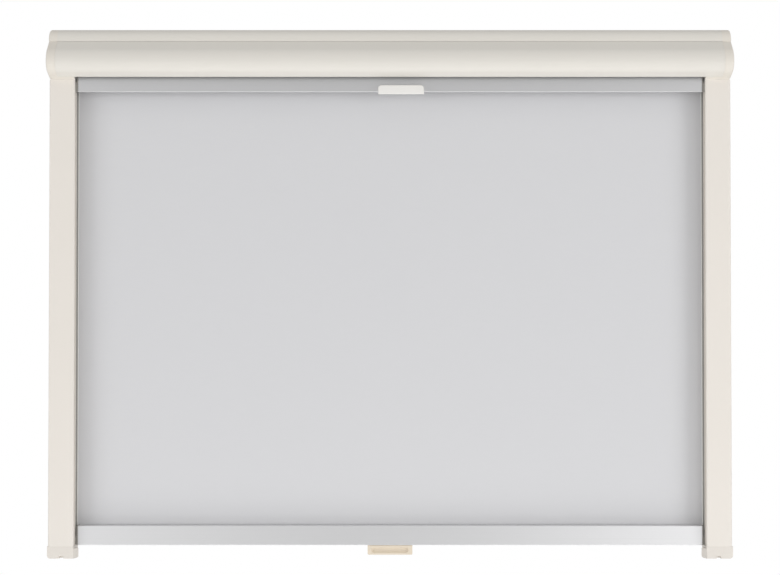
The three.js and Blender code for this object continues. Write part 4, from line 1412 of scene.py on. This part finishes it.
@dataclass(frozen=True)
class Screws(Assembly):
    """All the screws of the blind."""

    cap: Screw = Screw(2.5, 1.9, 1.3, 26)
    bracket: Screw = Screw(2.8, 1.6, 1.4, 7)
    foot: Screw = Screw(3.0, 2.0, 1.5, 18)

    def build(self) -> None:
        """Builds and finishes every screw."""
        cassette, steel = Cassette(self.shop), self.shop.finishes.steel
        plate = SIZES.bracket_face - FIT - self.bracket.head_length
        x, y = SideRails(self.shop).port_at
        upright = Matrix.Rotation(math.pi / 2, 3, "Y")
        for name, left in SIDES:
            made = [
                (f"end_cap_screw_{name}_{word}", self.cap.solid().moved(SIZES.half_width - FIT, *place))
                for word, place in zip(("rear", "front"), cassette.ports)
            ]
            made += [
                (f"bracket_screw_{name}_{word}", self.bracket.solid().mirrored().moved(plate, *place))
                for word, place in zip(("upper", "lower"), cassette.bosses)
            ]
            screw = self.foot.solid()
            bmesh.ops.rotate(screw.bm, cent=(0, 0, 0), matrix=upright, verts=screw.bm.verts[:])
            made.append((f"foot_screw_{name}", screw.moved(x, y, SIZES.foot_bottom + FIT)))
            for node, solid in made:
                self.shop.piece(solid.sided(left), node, "casing", steel)


# Studio


@dataclass(frozen=True)
class Studio:
    """Camera, soft lamps, a white surround and a pale floor far below."""

    lens: float = 69.1
    eye: Triple = (0.0, -2.030, -0.34825)
    aim: Triple = (0.0, 0.0, -0.33)
    tilt: float = 0.98
    glow: float = 0.495
    floor_drop: float = -2.2
    floor_radius: float = 3.0
    floor_tones: Place = (248, 243)
    lamps: tuple[tuple[str, Triple, Place, float], ...] = (
        ("soft_box_left", (-2.65, -1.95, -0.3), (1.5, 1.8), 21.7),
        ("soft_box_right", (2.65, -1.95, -0.3), (1.3, 1.8), 28.4),
        ("soft_box_low", (0, -1.3, -2.07), (2.4, 1.0), 6),
        ("soft_box_floor", (0, -0.55, -2.12), (2.4, 0.5), 7),
        ("soft_box_high", (0, -1.2, 1.5), (2.4, 0.7), 2.1),
        ("card_left", (-1.0, -2.1, -0.95), (1.0, 1.1), 1.8),
        ("card_right", (1.0, -2.1, -0.95), (1.0, 1.1), 2.9),
    )

    def camera(self) -> None:
        """Sets the camera where the photograph was taken."""
        data = bpy.data.cameras.new("camera")
        data.lens = self.lens
        made = placed("camera", data)
        made.location = self.eye
        made.rotation_euler = (math.radians(90 + self.tilt), 0, 0)
        bpy.context.scene.camera = made

    def lamp(self, name: str, place: Triple, size: Place, power: float) -> None:
        """Hangs a soft box that faces the blind.

        Args:
            name: The lamp's name.
            place: Where it hangs.
            size: Its width and height, in metres.
            power: Its power, in watts.
        """
        data = bpy.data.lights.new(name, "AREA")
        data.shape = "RECTANGLE"
        data.size, data.size_y = size
        data.energy = power
        made = placed(name, data)
        made.location = place
        made.rotation_euler = (Vector(self.aim) - Vector(place)).to_track_quat("-Z", "Y").to_euler()

    def surround(self) -> None:
        """Makes a world that looks white and lights the blind evenly."""
        world = bpy.data.worlds.new("surround")
        world.use_nodes = True
        world.node_tree.nodes.clear()
        nodes = Nodes(world.node_tree)
        light, white = (
            nodes.node("Background", {"Color": (1, 1, 1, 1), "Strength": strength}).outputs[0]
            for strength in (self.glow, 1.0)
        )
        nodes.node("OutputWorld", {"Surface": nodes.by_eye(light, white)})
        bpy.context.scene.world = world

    def floor(self) -> None:
        """Lays a pale floor far below, which the camera sees as white."""
        bm = bmesh.new()
        bmesh.ops.create_circle(bm, cap_ends=True, segments=WIDE, radius=self.floor_radius)
        bmesh.ops.translate(bm, vec=(0, 0, self.floor_drop), verts=bm.verts[:])
        surface = Surface("floor")
        surface.tinted(*(shade(tone, tone, tone) for tone in self.floor_tones), surface.noise((3, 3, 3)))
        white = surface.node("Emission").outputs[0]
        surface.feed(surface.output.inputs["Surface"], surface.by_eye(surface.shader.outputs[0], white))
        mesh = Solid(bm).mesh("floor_mesh")
        mesh.materials.append(surface.material)
        placed("floor", mesh)

    def build(self) -> None:
        """Sets up the studio."""
        self.camera()
        self.surround()
        self.floor()
        for lamp in self.lamps:
            self.lamp(*lamp)
        bpy.context.scene.view_settings.view_transform = "Standard"


def main() -> None:
    """Builds the blind, one sub-assembly after another."""
    logging.basicConfig(level=logging.INFO, format="%(message)s")
    Studio().build()
    shop = Workshop()
    looks = shop.finishes
    for assembly in (
        Cassette(shop),
        SideRails(shop),
        Roller(shop, "blackout", SIZES.blackout_axis, 0.5, looks.cloth),
        Roller(shop, "screen", SIZES.screen_axis, 2.6, looks.net_roll),
        BottomBar(shop, "screen", SIZES.screen_bar_y, -51.25, 6.0, 25.0, -22.4, (-26.0, -18.8)),
        BottomBar(shop, "blackout", -10.1, SIZES.rail_bottom, 15.2, 26.0, SIZES.sheet_y, (-16.2, -9.0)),
        PullTab(shop),
        PullHandle(shop),
        Sheets(shop),
        Screws(shop),
    ):
        assembly.build()


if __name__ == "__main__":
    main()
